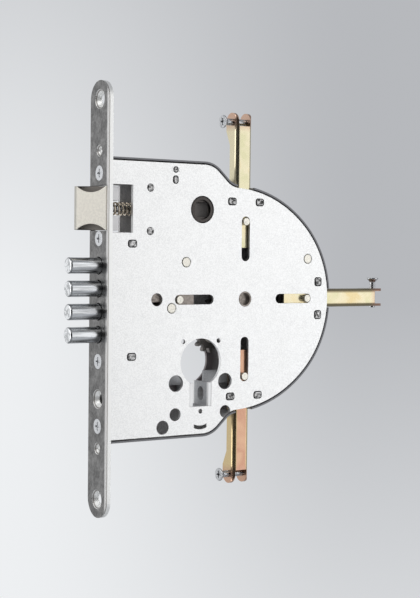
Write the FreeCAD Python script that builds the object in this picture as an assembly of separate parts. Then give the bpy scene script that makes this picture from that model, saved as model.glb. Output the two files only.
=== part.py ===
import FreeCAD, Part
import math
import os

# Multi-point mortise lock: four round bolts and a sprung latch in the forend, and three rods
# that come out of the case at the top, the bottom and the back. One rack pinion drives the
# bolt carriage and the three rods together, and a key turns it through a wheel and an idler.
# Millimetres. The origin is the middle of the forend's outer face: +X goes into the door,
# +Y away from the side that carries the plain cover plate, +Z up.

V = FreeCAD.Vector

# Forend
FOREND_LENGTH = 235.0
FOREND_WIDTH = 20.0
FOREND_THICKNESS = 3.0
FIXING_FROM_END = 10.0
FIXING_HOLE_R = 2.75
FIXING_SINK_R = 5.4
SMALL_HOLE_Z = 80.0
SMALL_HOLE_R = 1.7
SMALL_SINK_R = 3.3
CYLINDER_SCREW_Z = -53.3
CYLINDER_SCREW_HOLE_R = 2.65
CYLINDER_SCREW_SINK_R = 5.4
INNER_SCREW_OVER_BOLT = 10.125
INNER_SCREW_UNDER_LATCH = 4.5
OUTER_SCREW_OVER_LATCH = 7.1
OUTER_SCREW_INSET = 6.9
LUG_SCREW_R = 2.0
LUG_SCREW_HEAD_R = 4.15
LUG_SCREW_LENGTH = 12.0
OUTER_LUG_HALF = 4.5
OUTER_LUG_END = 15.0
INNER_LUG_RISE = 3.5

# Cross recesses, as depth, reach of an arm and width
LUG_RECESS = (0.9, 2.3, 0.9)
CLAMP_RECESS = (1.1, 2.0, 0.9)

# Case
CASE_THICKNESS = 16.0
FRONT_PLATE_THICKNESS = 1.8
BACK_PLATE_THICKNESS = 1.8
RIM_WALL = 0.95
RIM_GAP = 0.85
GEAR_X = 90.5
ARC_R = 59.3
FLANK_R = 71.6
FLANK_ANGLE = 45.0
SHOULDER_X = 62.5
SHOULDER_R = 14.0
NECK_STRAIGHT = 7.41
NECK_R = 12.6

# Clearances
RUNNING_FIT = 0.08
LOOSE_FIT = 0.15
SLIDE_GAP = 0.2
STAKE_FIT = 0.1
PRESS_GAP = 0.02
THREAD_GAP = 0.05
JOURNAL_SHORT = 0.1
POST_WAY_GAP = 0.4

# How far a cutting shape runs past the face that it opens, and how near counts as the same
PAST = 1.0
TINY = 0.01

# Staked tabs, as width along X and height along Z. The bar's start with their inset in the case
LUG_TAB_X = 16.35
LUG_TAB_DROP = 2.5
LUG_TAB = (5.2, 3.8)
GUIDE_TAB = (5.3, 3.9)
END_GUIDE_TAB = (4.8, 4.8)
TAB_ROUND = 1.3
TAB_GAP = 0.25
TAB_BELOW = 0.2
ROD_GUIDE_INSET = 4.2
ROD_GUIDE_SPREAD = 9.5
END_GUIDE_INSET = 7.0
END_GUIDE_SPREAD = 9.7
SPACER_BAR_X = 43.35
SPACER_BAR_HALF = 1.4
SPACER_BAR_TABS = ((3.5, 2.8, 3.0), (9.0, 3.1, 4.1))
FORWARD_POSTS = ((41.5, -4.65), (50.8, 20.75))
END_POST_INSET = 9.1
END_POST_ANGLE = 27.46
POST_R = 3.0
POST_END_R = 2.45
POST_SINK = 0.45

# Cylinder opening
BACKSET = 61.0
CYLINDER_Z = -35.0
CYLINDER_HOLE_R = 13.3
STEM_INNER_WIDTH = 10.1
STEM_DEPTH = 24.6
CHEEK = 2.0
CHEEK_TOP = 11.5
WING_REACH = 16.0
WING_TOP = 5.5
WING_BOTTOM = 13.0
WING_PLATE = 1.6
SCREW_WAY_R = 2.9
SCREW_WAY_RISE = 1.0
ESCUTCHEON_PAIRS = ((16.3, 11.2, 4.6), (16.6, 28.4, 3.55))
SMALL_PAIR = (11.7, -11.8, 1.3)
LOW_HOLE = (36.35, 4.8, 3.9)
SIDE_HOLE = (32.0, 0.15, 3.55)
STEM_HOLE_DROP = 27.4
STEM_HOLE_R = 1.3
CRESCENT_DROP = 36.0
CRESCENT = (8.4, 3.1)
CRESCENT_SAG = 0.32

# Bolts and carriage
BOLT_R = 4.35
BOLT_PITCH = 12.35
BOLT_COUNT = 4
BOLT_THROW = 18.5
BOLT_TAIL_X = 19.5
BOLT_NECK_R = 2.5
BOLT_HOLE_GAP = 0.45
BOLT_TIP_ROUND = 0.9
FLANGE_X = 15.6
CARRIAGE_PLATE = 1.4
FLANGE_PLATE = 1.8
FLANGE_DEEP_Y = 5.0
CARRIAGE_HALF_HEIGHT = 23.0
CARRIAGE_HEAD_END = 24.0
CARRIAGE_END = 57.0
CARRIAGE_TOP = 16.0
CARRIAGE_BOTTOM = -12.0
CARRIAGE_RACK_TAIL = 12.0
CARRIAGE_RIVET_INSETS = (8.5, 2.8)
CARRIAGE_RIVET_RISE = 0.6
NOTCH_REACH = 14.0

# Rods, measured outwards from the gear's axis
ROD_WIDTH = 10.8
ROD_SHEET = 1.6
ROD_BEND_R = 2.4
ROD_DEPTH = 7.0
ROD_END_DEPTH = 10.7
ROD_START = 34.0
ROD_STANDS_OUT = 38.7
ROD_FLARE_INSET = 10.5
ROD_FLARE_LENGTH = 8.0
ROD_SCREW_PAST_WEB = 2.4
ROD_FRONT_GAP = 0.4
PIN_REACH = 44.0
PIN_R = 2.1
PIN_PROUD = 0.8
PIN_HEAD = 1.0
SLOT_HALF_WIDTH = 2.75
SLOT_SPARE_IN = 1.25
SLOT_SPARE_OUT = 0.15
RIVET_INSET = 3.3
RIVET_R = 1.6
COLLAR = 0.8
CLAMP_SCREW_R = 1.75
CLAMP_HEAD_R = 3.7
CLAMP_HEAD_HEIGHT = 2.6
CLAMP_HEAD_RIM = 0.7
CLAMP_HEAD_ROUND = 0.35
CLAMP_BACKED_OUT = 3.8
CLAMP_LENGTH = 15.5

# Gear train
MODULE = 1.5
PINION_TEETH = 12
WHEEL_TEETH = 24
IDLER_TEETH = 12
PRESSURE_ANGLE = 20.0
TIP_HEIGHT = 0.7
ROOT_DEPTH = 0.95
BACKLASH = 0.3
RACK_PLATE = 2.0
RACK_BACK = 14.5
RACK_GAP = 0.3
RACK_LEAD = 7.5
TONGUE_PAST_RIVET = 4.0
FLANK_STEPS = 5
BOSS_STEP = 1.0
WHEEL_PLATE = 3.0
WHEEL_STAND_OFF = 1.4
ARBOR_R = 4.25
ARBOR_DISH_R = 3.4
ARBOR_DISH_DEPTH = 2.5
IDLER_STUD_R = 3.0
IDLER_BOSS = 2.0
STUD_HEAD = (1.3, 0.8)

# Latch and follower
LATCH_HEIGHT = 23.4
LATCH_HALF_THICKNESS = 8.6
LATCH_REACH = 10.6
LATCH_SHOULDER_X = 4.0
LATCH_TAIL_X = 9.0
LATCH_TAIL_HALF = 5.6
LATCH_GAP = 0.4
LATCH_SLOT_HALF = 4.2
LATCH_SLOT_START = 2.0
LATCH_NOSE = 1.7
LATCH_NOSE_ROUND = 0.8
LATCH_RAMP_START = -0.3
SCOOP_DEPTH = 3.3
SCOOP_CHORD = 17.5
SCOOP_CUT = 3.2
WINDOW_END = 16.4
WINDOW_HALF_HEIGHT = 12.95
ROD_TAIL_R = 2.0
ROD_TAIL_START = -2.0
GUIDE_X = 25.4
GUIDE_PLATE = 4.0
GUIDE_STAKE_R = 2.1
GUIDE_STAKE_SPREAD = 11.75
SPRING_WIRE_R = 0.5
SPRING_MEAN_R = 3.25
SPRING_TURNS = 7.5
SPRING_BEND = 1.2
SPRING_SEAT_GAP = 0.05
SPRING_SAMPLES = 1200
TAIL_FLANGE_X = 34.0
TAIL_PLATE = 2.0
TAIL_RISER = 6.0
TAIL_EAR = 4.8
TAIL_BACK_GAP = 1.0
TAIL_LOW = 30.5
TAIL_HIGH = 37.5
NUT_FLATS = 7.0
NUT_HEIGHT = 3.2
HANDLE_OVER_CYLINDER = 85.0
FOLLOWER_R = 9.5
FOLLOWER_HOLE_R = 7.6
FOLLOWER_LEAD_R = 5.4
FOLLOWER_LEAD_DEPTH = 1.5
FOLLOWER_CHAMFER = 0.6
SPINDLE = 8.0
ARM_WIDTH = 5.0
ARM_REACH = 16.0
ARM_GAP = 0.3
ARM_Y = -2.0

# Up the forend, each piece above the one before, and the case as high as they need
BOLTS_TOP = (BOLT_COUNT - 1) * BOLT_PITCH / 2 + BOLT_R
INNER_SCREW_Z = BOLTS_TOP + INNER_SCREW_OVER_BOLT
LUG_TAB_Z = INNER_SCREW_Z - LUG_TAB_DROP
LATCH_HALF = LATCH_HEIGHT / 2
LATCH_Z = INNER_SCREW_Z + INNER_SCREW_UNDER_LATCH + LATCH_HALF
OUTER_SCREW_Z = LATCH_Z + LATCH_HALF + OUTER_SCREW_OVER_LATCH
PLATE_HALF_HEIGHT = OUTER_SCREW_Z + OUTER_SCREW_INSET
FOLLOWER_Z = CYLINDER_Z + HANDLE_OVER_CYLINDER
FIXING_SPACING = FOREND_LENGTH - 2 * FIXING_FROM_END

# Planes through the case
OUTER_Y = -CASE_THICKNESS / 2
BACK_Y = CASE_THICKNESS / 2
INNER_Y = OUTER_Y + FRONT_PLATE_THICKNESS
FLOOR_Y = BACK_Y - BACK_PLATE_THICKNESS
WEB_Y = INNER_Y + ROD_FRONT_GAP
LAYER_B = WEB_Y + ROD_SHEET
LAYER_A = LAYER_B + RACK_PLATE + RACK_GAP
CARRIAGE_Y = INNER_Y + SLIDE_GAP
PINION_END_Y = LAYER_A + RACK_PLATE + RACK_GAP
WHEEL_Y = LAYER_A + RACK_PLATE + WHEEL_STAND_OFF
TAIL_Y = FLOOR_Y - TAIL_BACK_GAP - TAIL_PLATE
TRAVEL_SLOT_IN = PIN_REACH - BOLT_THROW - SLOT_SPARE_IN
TRAVEL_SLOT_OUT = PIN_REACH + SLOT_SPARE_OUT
PITCH_R = MODULE * PINION_TEETH / 2
WHEEL_R = MODULE * WHEEL_TEETH / 2
IDLER_R = MODULE * IDLER_TEETH / 2
BOSS_R = PITCH_R - ROOT_DEPTH * MODULE - BOSS_STEP
LEG_START = PITCH_R + MODULE + BOLT_THROW + LOOSE_FIT

# Outwards from the gear's axis
ROD_GUIDE_REACH = ARC_R - ROD_GUIDE_INSET
END_GUIDE_REACH = ARC_R - END_GUIDE_INSET
RIVET_REACH = ARC_R - RIVET_INSET
ROD_WEB_END = ARC_R + ROD_STANDS_OUT
ROD_FLARE_START = ROD_WEB_END - ROD_FLARE_INSET
ROD_FLARE_END = ROD_FLARE_START + ROD_FLARE_LENGTH
ROD_SCREW_REACH = ROD_WEB_END + ROD_SCREW_PAST_WEB


def box(x0, x1, y0, y1, z0, z1):
    return Part.makeBox(x1 - x0, y1 - y0, z1 - z0, V(x0, y0, z0))


def disc_y(x, z, radius, y0, y1):
    return Part.makeCylinder(radius, y1 - y0, V(x, y0, z), V(0, 1, 0))


def disc_x(y, z, radius, x0, x1):
    return Part.makeCylinder(radius, x1 - x0, V(x0, y, z), V(1, 0, 0))


def fuse(shapes):
    first = shapes[0]
    return first.multiFuse(shapes[1:]).removeSplitter() if len(shapes) > 1 else first


def cut(shape, tools):
    return shape.cut(Part.makeCompound(tools))


def plate_xz(points, y0, y1):
    corners = [V(x, y0, z) for x, z in points]
    face = Part.Face(Part.makePolygon(corners + corners[:1]))
    return face.extrude(V(0, y1 - y0, 0))


def place_round_gear(shape, degrees):
    turned = shape.copy()
    turned.rotate(V(GEAR_X, 0, 0), V(0, 1, 0), degrees)
    return turned


def write(name, shape):
    shape.exportStep("parts/" + name + ".step")


# Case outline

def on_circle(centre, radius, degrees):
    angle = math.radians(degrees)
    return (centre[0] + radius * math.cos(angle), centre[1] + radius * math.sin(angle))


def arc_points(centre, radius, start, end):
    return [on_circle(centre, radius, a) for a in (start, (start + end) / 2, end)]


def crossing(centre, radius, other, other_radius):
    # Where two circles cross, on the side away from the forend
    across = (other[0] - centre[0], other[1] - centre[1])
    apart = math.hypot(*across)
    along = (radius ** 2 - other_radius ** 2 + apart ** 2) / (2 * apart)
    aside = math.sqrt(radius ** 2 - along ** 2)
    return (
        centre[0] + (along * across[0] - aside * across[1]) / apart,
        centre[1] + (along * across[1] + aside * across[0]) / apart,
    )


def outline_half(grow):
    # Straight top, rounded shoulder, hollow neck, flank and half of the big end arc
    shoulder = (SHOULDER_X, PLATE_HALF_HEIGHT - SHOULDER_R)
    turn = math.radians(FLANK_ANGLE)
    flank = (GEAR_X - (FLANK_R - ARC_R) * math.cos(turn), -(FLANK_R - ARC_R) * math.sin(turn))
    neck_reach = math.hypot(SHOULDER_R + NECK_R, NECK_STRAIGHT)
    neck = crossing(shoulder, neck_reach, flank, FLANK_R + NECK_R)
    across = (neck[0] - shoulder[0], neck[1] - shoulder[1])
    slope = math.degrees(math.atan2(across[1], across[0]))
    tangent = slope + math.degrees(math.acos((SHOULDER_R + NECK_R) / math.hypot(*across)))
    meet = math.degrees(math.atan2(neck[1] - flank[1], neck[0] - flank[0]))
    return [
        arc_points(shoulder, SHOULDER_R + grow, 90.0, tangent),
        arc_points(neck, NECK_R - grow, tangent + 180.0, meet + 180.0),
        arc_points(flank, FLANK_R + grow, meet, FLANK_ANGLE),
    ]


def outline_face(grow, left):
    top = PLATE_HALF_HEIGHT + grow
    upper = outline_half(grow)
    end = [arc_points((GEAR_X, 0.0), ARC_R + grow, FLANK_ANGLE, -FLANK_ANGLE)]
    lower = [[(x, -z) for x, z in reversed(arc)] for arc in reversed(upper)]
    arcs = upper + end + lower
    edges = []
    last = V(left, 0, top)
    for arc in arcs:
        a, b, c = [V(x, 0, z) for x, z in arc]
        if last.distanceToPoint(a) > 0.001:
            edges.append(Part.makeLine(last, a))
        edges.append(Part.Arc(a, b, c).toShape())
        last = c
    low = V(left, 0, -top)
    edges.append(Part.makeLine(last, low))
    edges.append(Part.makeLine(low, V(left, 0, top)))
    return Part.Face(Part.Wire(edges))


def outline_block(grow, left, y0, y1):
    face = outline_face(grow, left)
    face.translate(V(0, y0, 0))
    return face.extrude(V(0, y1 - y0, 0))


# Holes that the two plates share

def tab_block(x, z, size, y0, y1, grow=0):
    # A tab with rounded corners seen along Y, or its hole where it grows by a gap
    half_w = size[0] / 2 + grow
    half_h = size[1] / 2 + grow
    block = box(x - half_w, x + half_w, y0, y1, z - half_h, z + half_h)
    corners = [e for e in block.Edges if e.BoundBox.YLength > y1 - y0 - TINY]
    return block.makeFillet(TAB_ROUND + grow, corners)


def staked_tab(x, z, size):
    return tab_block(x, z, size, OUTER_Y + TAB_BELOW, BACK_Y - TAB_BELOW)


def bar_tabs():
    return [(PLATE_HALF_HEIGHT - inset, width, height) for inset, width, height in SPACER_BAR_TABS]


def post_places():
    end = on_circle((GEAR_X, 0), ARC_R - END_POST_INSET, END_POST_ANGLE)
    return [*FORWARD_POSTS, end]


def stake_places():
    places = [(LUG_TAB_X, LUG_TAB_Z, LUG_TAB), (LUG_TAB_X, -LUG_TAB_Z, LUG_TAB)]
    for side in (-1, 1):
        for level in (-1, 1):
            places.append((GEAR_X + side * ROD_GUIDE_SPREAD, level * ROD_GUIDE_REACH, GUIDE_TAB))
        places.append((GEAR_X + END_GUIDE_REACH, side * END_GUIDE_SPREAD, END_GUIDE_TAB))
    for z, width, height in bar_tabs():
        places.append((SPACER_BAR_X, z, (width, height)))
    return places


def shared_holes(y0, y1):
    holes = [tab_block(x, z, size, y0, y1, TAB_GAP) for x, z, size in stake_places()]
    holes += [disc_y(x, z, POST_END_R + LOOSE_FIT, y0, y1) for x, z in post_places()]
    for side in (-1, 1):
        z = LATCH_Z + side * GUIDE_STAKE_SPREAD
        holes.append(disc_y(GUIDE_X + GUIDE_PLATE / 2, z, GUIDE_STAKE_R + STAKE_FIT, y0, y1))
        for offset, drop, radius in ESCUTCHEON_PAIRS:
            holes.append(disc_y(BACKSET + side * offset, CYLINDER_Z - drop, radius, y0, y1))
    stem = STEM_INNER_WIDTH / 2 + CHEEK + STAKE_FIT
    stem_bottom = CYLINDER_Z - STEM_DEPTH - STAKE_FIT
    holes.append(disc_y(BACKSET, CYLINDER_Z, CYLINDER_HOLE_R, y0, y1))
    holes.append(box(BACKSET - stem, BACKSET + stem, y0, y1, stem_bottom, CYLINDER_Z))
    holes.append(disc_y(BACKSET, FOLLOWER_Z, FOLLOWER_HOLE_R, y0, y1))
    holes.append(disc_y(GEAR_X, 0, ARBOR_R + RUNNING_FIT, y0, y1))
    low = LATCH_Z - WINDOW_HALF_HEIGHT
    high = LATCH_Z + WINDOW_HALF_HEIGHT
    holes.append(box(FOREND_THICKNESS - PAST, WINDOW_END, y0, y1, low, high))
    return holes


def travel_slot(degrees, y0, y1):
    left = GEAR_X - SLOT_HALF_WIDTH
    right = GEAR_X + SLOT_HALF_WIDTH
    slot = fuse([
        box(left, right, y0, y1, TRAVEL_SLOT_IN, TRAVEL_SLOT_OUT),
        disc_y(GEAR_X, TRAVEL_SLOT_IN, SLOT_HALF_WIDTH, y0, y1),
        disc_y(GEAR_X, TRAVEL_SLOT_OUT, SLOT_HALF_WIDTH, y0, y1),
    ])
    return place_round_gear(slot, degrees)


def crescent(y0, y1):
    # A sagging arc slot under the cylinder opening
    width, height = CRESCENT
    sag = height * CRESCENT_SAG
    radius = (width / 2) ** 2 / (2 * sag) + sag / 2
    low = CYLINDER_Z - CRESCENT_DROP - height / 2
    outer = disc_y(BACKSET, low + radius, radius, y0, y1)
    inner = disc_y(BACKSET, low + radius + height - sag, radius, y0, y1)
    band = box(BACKSET - width / 2, BACKSET + width / 2, y0, y1, low, low + height)
    return outer.cut(inner).common(band)


def post_sink(x, z):
    narrow = POST_END_R + LOOSE_FIT
    return Part.makeCone(narrow + POST_SINK, narrow, POST_SINK, V(x, OUTER_Y, z), V(0, 1, 0))


def make_front_plate():
    y0 = OUTER_Y - PAST
    y1 = INNER_Y + PAST
    plate = outline_block(0, FOREND_THICKNESS, OUTER_Y, INNER_Y)
    holes = shared_holes(y0, y1)
    holes += [travel_slot(turn, y0, y1) for turn in (0, 90, 180, 270)]
    offset, drop, radius = SMALL_PAIR
    for side in (-1, 1):
        holes.append(disc_y(BACKSET + side * offset, CYLINDER_Z - drop, radius, y0, y1))
    x, z, radius = SIDE_HOLE
    holes.append(disc_y(x, z, radius, y0, y1))
    x, inset, radius = LOW_HOLE
    holes.append(disc_y(x, inset - PLATE_HALF_HEIGHT, radius, y0, y1))
    holes.append(disc_y(BACKSET, CYLINDER_Z - STEM_HOLE_DROP, STEM_HOLE_R, y0, y1))
    holes.append(crescent(y0, y1))
    holes += [post_sink(x, z) for x, z in post_places()]
    return cut(plate, holes)


def rod_notch():
    # The way through the rim wall for a rod, open to the front
    half = ROD_WIDTH / 2 + SLIDE_GAP
    start = END_GUIDE_REACH + END_GUIDE_TAB[1] / 2
    return box(GEAR_X - half, GEAR_X + half, OUTER_Y - PAST, WEB_Y + ROD_DEPTH + SLIDE_GAP,
               start, start + NOTCH_REACH)


def make_case_body():
    outer = outline_block(RIM_GAP + RIM_WALL, FOREND_THICKNESS, OUTER_Y, BACK_Y)
    pocket = outline_block(RIM_GAP, FOREND_THICKNESS - PAST, OUTER_Y - PAST, FLOOR_Y)
    y0 = FLOOR_Y - PAST
    y1 = BACK_Y + PAST
    holes = shared_holes(y0, y1)
    holes += [place_round_gear(rod_notch(), turn) for turn in (0, 90, 180)]
    holes.append(disc_y(*idler_place(), IDLER_STUD_R + PRESS_GAP, y0, y1))
    return cut(outer.cut(pocket), holes)


# Forend

def sink(y, z, hole_r, sink_r):
    depth = sink_r - hole_r
    hole = disc_x(y, z, hole_r, -PAST, FOREND_THICKNESS + PAST)
    cone = Part.makeCone(sink_r, hole_r, depth, V(0, y, z), V(1, 0, 0))
    return hole.fuse(cone)


def bolt_levels():
    middle = (BOLT_COUNT - 1) / 2
    return [(middle - i) * BOLT_PITCH for i in range(BOLT_COUNT)]


def lug_levels():
    return (OUTER_SCREW_Z, INNER_SCREW_Z, -INNER_SCREW_Z, -OUTER_SCREW_Z)


def make_forend():
    half_w = FOREND_WIDTH / 2
    centre = FOREND_LENGTH / 2 - half_w
    bar = fuse([
        box(0, FOREND_THICKNESS, -half_w, half_w, -centre, centre),
        disc_x(0, centre, half_w, 0, FOREND_THICKNESS),
        disc_x(0, -centre, half_w, 0, FOREND_THICKNESS),
    ])
    x0 = -PAST
    x1 = FOREND_THICKNESS + PAST
    holes = []
    for side in (-1, 1):
        holes.append(sink(0, side * FIXING_SPACING / 2, FIXING_HOLE_R, FIXING_SINK_R))
        holes.append(sink(0, side * SMALL_HOLE_Z, SMALL_HOLE_R, SMALL_SINK_R))
    for z in lug_levels():
        holes.append(sink(0, z, LUG_SCREW_R + LOOSE_FIT, LUG_SCREW_HEAD_R + LOOSE_FIT))
    holes.append(sink(0, CYLINDER_SCREW_Z, CYLINDER_SCREW_HOLE_R, CYLINDER_SCREW_SINK_R))
    for z in bolt_levels():
        holes.append(disc_x(0, z, BOLT_R + BOLT_HOLE_GAP, x0, x1))
    half_y = LATCH_HALF_THICKNESS + LATCH_GAP
    half_z = LATCH_HALF + LATCH_GAP
    holes.append(box(x0, x1, -half_y, half_y, LATCH_Z - half_z, LATCH_Z + half_z))
    return cut(bar, holes)


def cross_recess(face_x, size):
    depth, arm, width = size
    x0 = face_x - PAST
    x1 = face_x + depth
    return [
        box(x0, x1, -arm, arm, -width / 2, width / 2),
        box(x0, x1, -width / 2, width / 2, -arm, arm),
    ]


def make_lug_screws():
    head = LUG_SCREW_HEAD_R - LUG_SCREW_R
    cone = Part.makeCone(LUG_SCREW_HEAD_R, LUG_SCREW_R, head, V(0, 0, 0), V(1, 0, 0))
    screw = fuse([cone, disc_x(0, 0, LUG_SCREW_R, head, LUG_SCREW_LENGTH)])
    screw = cut(screw, cross_recess(0, LUG_RECESS))
    return Part.makeCompound([screw.translated(V(0, 0, z)) for z in lug_levels()])


def make_outer_lug(z):
    block = box(FOREND_THICKNESS, OUTER_LUG_END, INNER_Y, FLOOR_Y,
                z - OUTER_LUG_HALF, z + OUTER_LUG_HALF)
    return block.cut(disc_x(0, z, LUG_SCREW_R + THREAD_GAP, 0, OUTER_LUG_END + PAST))


def make_inner_lug(side):
    tab_w, tab_h = LUG_TAB
    low = LUG_TAB_Z - tab_h / 2
    high = INNER_SCREW_Z + INNER_LUG_RISE
    end = LUG_TAB_X + tab_w / 2
    block = box(FOREND_THICKNESS, end, INNER_Y, FLOOR_Y, low, high)
    tab = staked_tab(LUG_TAB_X, LUG_TAB_Z, LUG_TAB)
    hole = disc_x(0, INNER_SCREW_Z, LUG_SCREW_R + THREAD_GAP, 0, end + PAST)
    lug = fuse([block, tab]).cut(hole)
    return lug if side > 0 else lug.mirror(V(0, 0, 0), V(0, 0, 1))


# Pieces that hold the two plates apart

def make_spacer_posts():
    posts = []
    for x, z in post_places():
        post = fuse([
            disc_y(x, z, POST_R, INNER_Y, FLOOR_Y),
            disc_y(x, z, POST_END_R, OUTER_Y, BACK_Y),
        ])
        posts.append(post)
    return Part.makeCompound(posts)


def make_spacer_bar():
    left = SPACER_BAR_X - SPACER_BAR_HALF
    right = SPACER_BAR_X + SPACER_BAR_HALF
    low = min(z - height / 2 for z, _, height in bar_tabs())
    high = max(z + height / 2 for z, _, height in bar_tabs())
    pieces = [box(left, right, INNER_Y, FLOOR_Y, low, high)]
    pieces += [staked_tab(SPACER_BAR_X, z, (width, height)) for z, width, height in bar_tabs()]
    return fuse(pieces)


def make_rod_guide(reach, spread, tab):
    # A block between the plates with a channel for the rod and two staked ends each side
    tab_w, tab_h = tab
    end = spread + tab_w / 2
    low = reach - tab_h / 2
    high = reach + tab_h / 2
    block = box(GEAR_X - end, GEAR_X + end, INNER_Y, FLOOR_Y, low, high)
    half = ROD_WIDTH / 2 + SLIDE_GAP
    channel = box(GEAR_X - half, GEAR_X + half, INNER_Y - PAST, WEB_Y + ROD_DEPTH + SLIDE_GAP,
                  low - PAST, high + PAST)
    tabs = [staked_tab(GEAR_X + side * spread, reach, tab) for side in (-1, 1)]
    return fuse([block.cut(channel)] + tabs)


def make_latch_guide():
    x0 = GUIDE_X
    x1 = GUIDE_X + GUIDE_PLATE
    half = GUIDE_STAKE_SPREAD + GUIDE_STAKE_R
    pieces = [box(x0, x1, INNER_Y, FLOOR_Y, LATCH_Z - half, LATCH_Z + half)]
    for side in (-1, 1):
        z = LATCH_Z + side * GUIDE_STAKE_SPREAD
        pieces.append(disc_y((x0 + x1) / 2, z, GUIDE_STAKE_R, OUTER_Y, BACK_Y))
    bore = disc_x(0, LATCH_Z, ROD_TAIL_R + RUNNING_FIT, x0 - PAST, x1 + PAST)
    return fuse(pieces).cut(bore)


def make_cylinder_guide():
    # Two cheeks beside the stem of the cylinder, joined under it, with a wing on each side
    inner = STEM_INNER_WIDTH / 2
    outer = inner + CHEEK
    bottom = CYLINDER_Z - STEM_DEPTH
    top = CYLINDER_Z - CHEEK_TOP
    wing_low = CYLINDER_Z - WING_BOTTOM
    wing_high = CYLINDER_Z - WING_TOP
    left = BACKSET - outer
    right = BACKSET + outer
    pieces = [
        box(left, left + CHEEK, OUTER_Y, BACK_Y, bottom, top),
        box(right - CHEEK, right, OUTER_Y, BACK_Y, bottom, top),
        box(left, right, INNER_Y, FLOOR_Y, bottom - CHEEK, bottom),
        box(left - WING_REACH, left, 0, WING_PLATE, wing_low, wing_high),
        box(right, right + WING_REACH, 0, WING_PLATE, wing_low, wing_high),
    ]
    x0 = left - PAST
    x1 = right + PAST
    low = CYLINDER_SCREW_Z - SCREW_WAY_RISE
    high = CYLINDER_SCREW_Z + SCREW_WAY_RISE
    screw_way = fuse([
        disc_x(0, low, SCREW_WAY_R, x0, x1),
        disc_x(0, high, SCREW_WAY_R, x0, x1),
        box(x0, x1, -SCREW_WAY_R, SCREW_WAY_R, low, high),
    ])
    return fuse(pieces).cut(screw_way)


# Gear train

def involute_angle(radius, base):
    ratio = max(radius / base, 1.0)
    slope = math.sqrt(ratio * ratio - 1)
    return slope - math.atan(slope)


def gear_block(teeth, tooth_at, y0, y1, centre):
    pitch_r = MODULE * teeth / 2
    base = pitch_r * math.cos(math.radians(PRESSURE_ANGLE))
    tip = pitch_r + TIP_HEIGHT * MODULE
    root = pitch_r - ROOT_DEPTH * MODULE
    half_tooth = (math.pi * MODULE / 2 - BACKLASH) / 2 / pitch_r
    spread = half_tooth + involute_angle(pitch_r, base)
    start = max(base, root)
    step = (tip - start) / FLANK_STEPS
    radii = [root] + [start + step * i for i in range(FLANK_STEPS + 1)]
    flank = [(r, spread - involute_angle(r, base)) for r in radii]
    corners = []
    for tooth in range(teeth):
        middle = math.radians(tooth_at) + 2 * math.pi * tooth / teeth
        rising = [(r, middle - a) for r, a in flank]
        falling = [(r, middle + a) for r, a in reversed(flank)]
        for r, angle in rising + falling:
            corners.append((centre[0] + r * math.cos(angle), centre[1] + r * math.sin(angle)))
    return plate_xz(corners, y0, y1)


def rack_corners(start, end):
    # Teeth point to the axis, with a gap opposite it when the rod is thrown
    pitch = math.pi * MODULE
    slope = math.tan(math.radians(PRESSURE_ANGLE))
    tip = PITCH_R - TIP_HEIGHT * MODULE
    root = PITCH_R + ROOT_DEPTH * MODULE
    half = pitch / 4 - BACKLASH / 2
    wide = half + (root - PITCH_R) * slope
    narrow = half - (PITCH_R - tip) * slope
    first = math.ceil((start + wide) / pitch - 0.5)
    last = math.floor((end - wide) / pitch - 0.5)
    corners = [(root, start)]
    for i in range(first, last + 1):
        middle = (i + 0.5) * pitch
        corners += [(root, middle - wide), (tip, middle - narrow)]
        corners += [(tip, middle + narrow), (root, middle + wide)]
    corners.append((root, end))
    return corners


def rack_bar(end, y0):
    # Drawn for the rod that points up; v is measured to the right of the gear's axis
    root = PITCH_R + ROOT_DEPTH * MODULE
    corners = rack_corners(-RACK_LEAD, BOLT_THROW + RACK_LEAD)
    corners += [(root, end), (RACK_BACK, end), (RACK_BACK, -RACK_LEAD)]
    return plate_xz([(GEAR_X + v, u) for v, u in corners], y0, y0 + RACK_PLATE)


def make_rod_rack(rack_y):
    half = ROD_WIDTH / 2 - ROD_BEND_R - LOOSE_FIT
    leg_end = ROD_START - SLIDE_GAP
    tongue_end = RIVET_REACH + TONGUE_PAST_RIVET
    y1 = rack_y + RACK_PLATE
    rack = fuse([
        rack_bar(leg_end, rack_y),
        box(GEAR_X - half, GEAR_X + RACK_BACK, rack_y, y1, LEG_START, leg_end),
        box(GEAR_X - half, GEAR_X + half, rack_y, y1, LEG_START, tongue_end),
    ])
    return cut(rack, [
        disc_y(GEAR_X, PIN_REACH, PIN_R + PRESS_GAP, rack_y - PAST, y1 + PAST),
        disc_y(GEAR_X, RIVET_REACH, RIVET_R + PRESS_GAP, rack_y - PAST, y1 + PAST),
    ])


def carriage_rivet_places():
    z = (PITCH_R + RACK_BACK) / 2 + CARRIAGE_RIVET_RISE
    return [(CARRIAGE_END - inset, z) for inset in CARRIAGE_RIVET_INSETS]


def make_carriage_rack():
    reach = GEAR_X - CARRIAGE_END + CARRIAGE_RACK_TAIL
    rack = place_round_gear(rack_bar(reach, LAYER_A), 270)
    y0 = LAYER_A - PAST
    y1 = LAYER_A + RACK_PLATE + PAST
    holes = [disc_y(x, z, RIVET_R + PRESS_GAP, y0, y1) for x, z in carriage_rivet_places()]
    return cut(rack, holes)


def make_rack_pinion():
    y0 = LAYER_B - SLIDE_GAP
    pinion = fuse([
        gear_block(PINION_TEETH, 0, y0, PINION_END_Y, (GEAR_X, 0)),
        disc_y(GEAR_X, 0, BOSS_R, INNER_Y + SLIDE_GAP, y0),
    ])
    return pinion.cut(disc_y(GEAR_X, 0, ARBOR_R + PRESS_GAP, OUTER_Y, BACK_Y))


def idler_angle():
    return math.degrees(math.atan2(CYLINDER_Z, BACKSET - GEAR_X))


def idler_place():
    return on_circle((GEAR_X, 0.0), WHEEL_R + IDLER_R, idler_angle())


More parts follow.
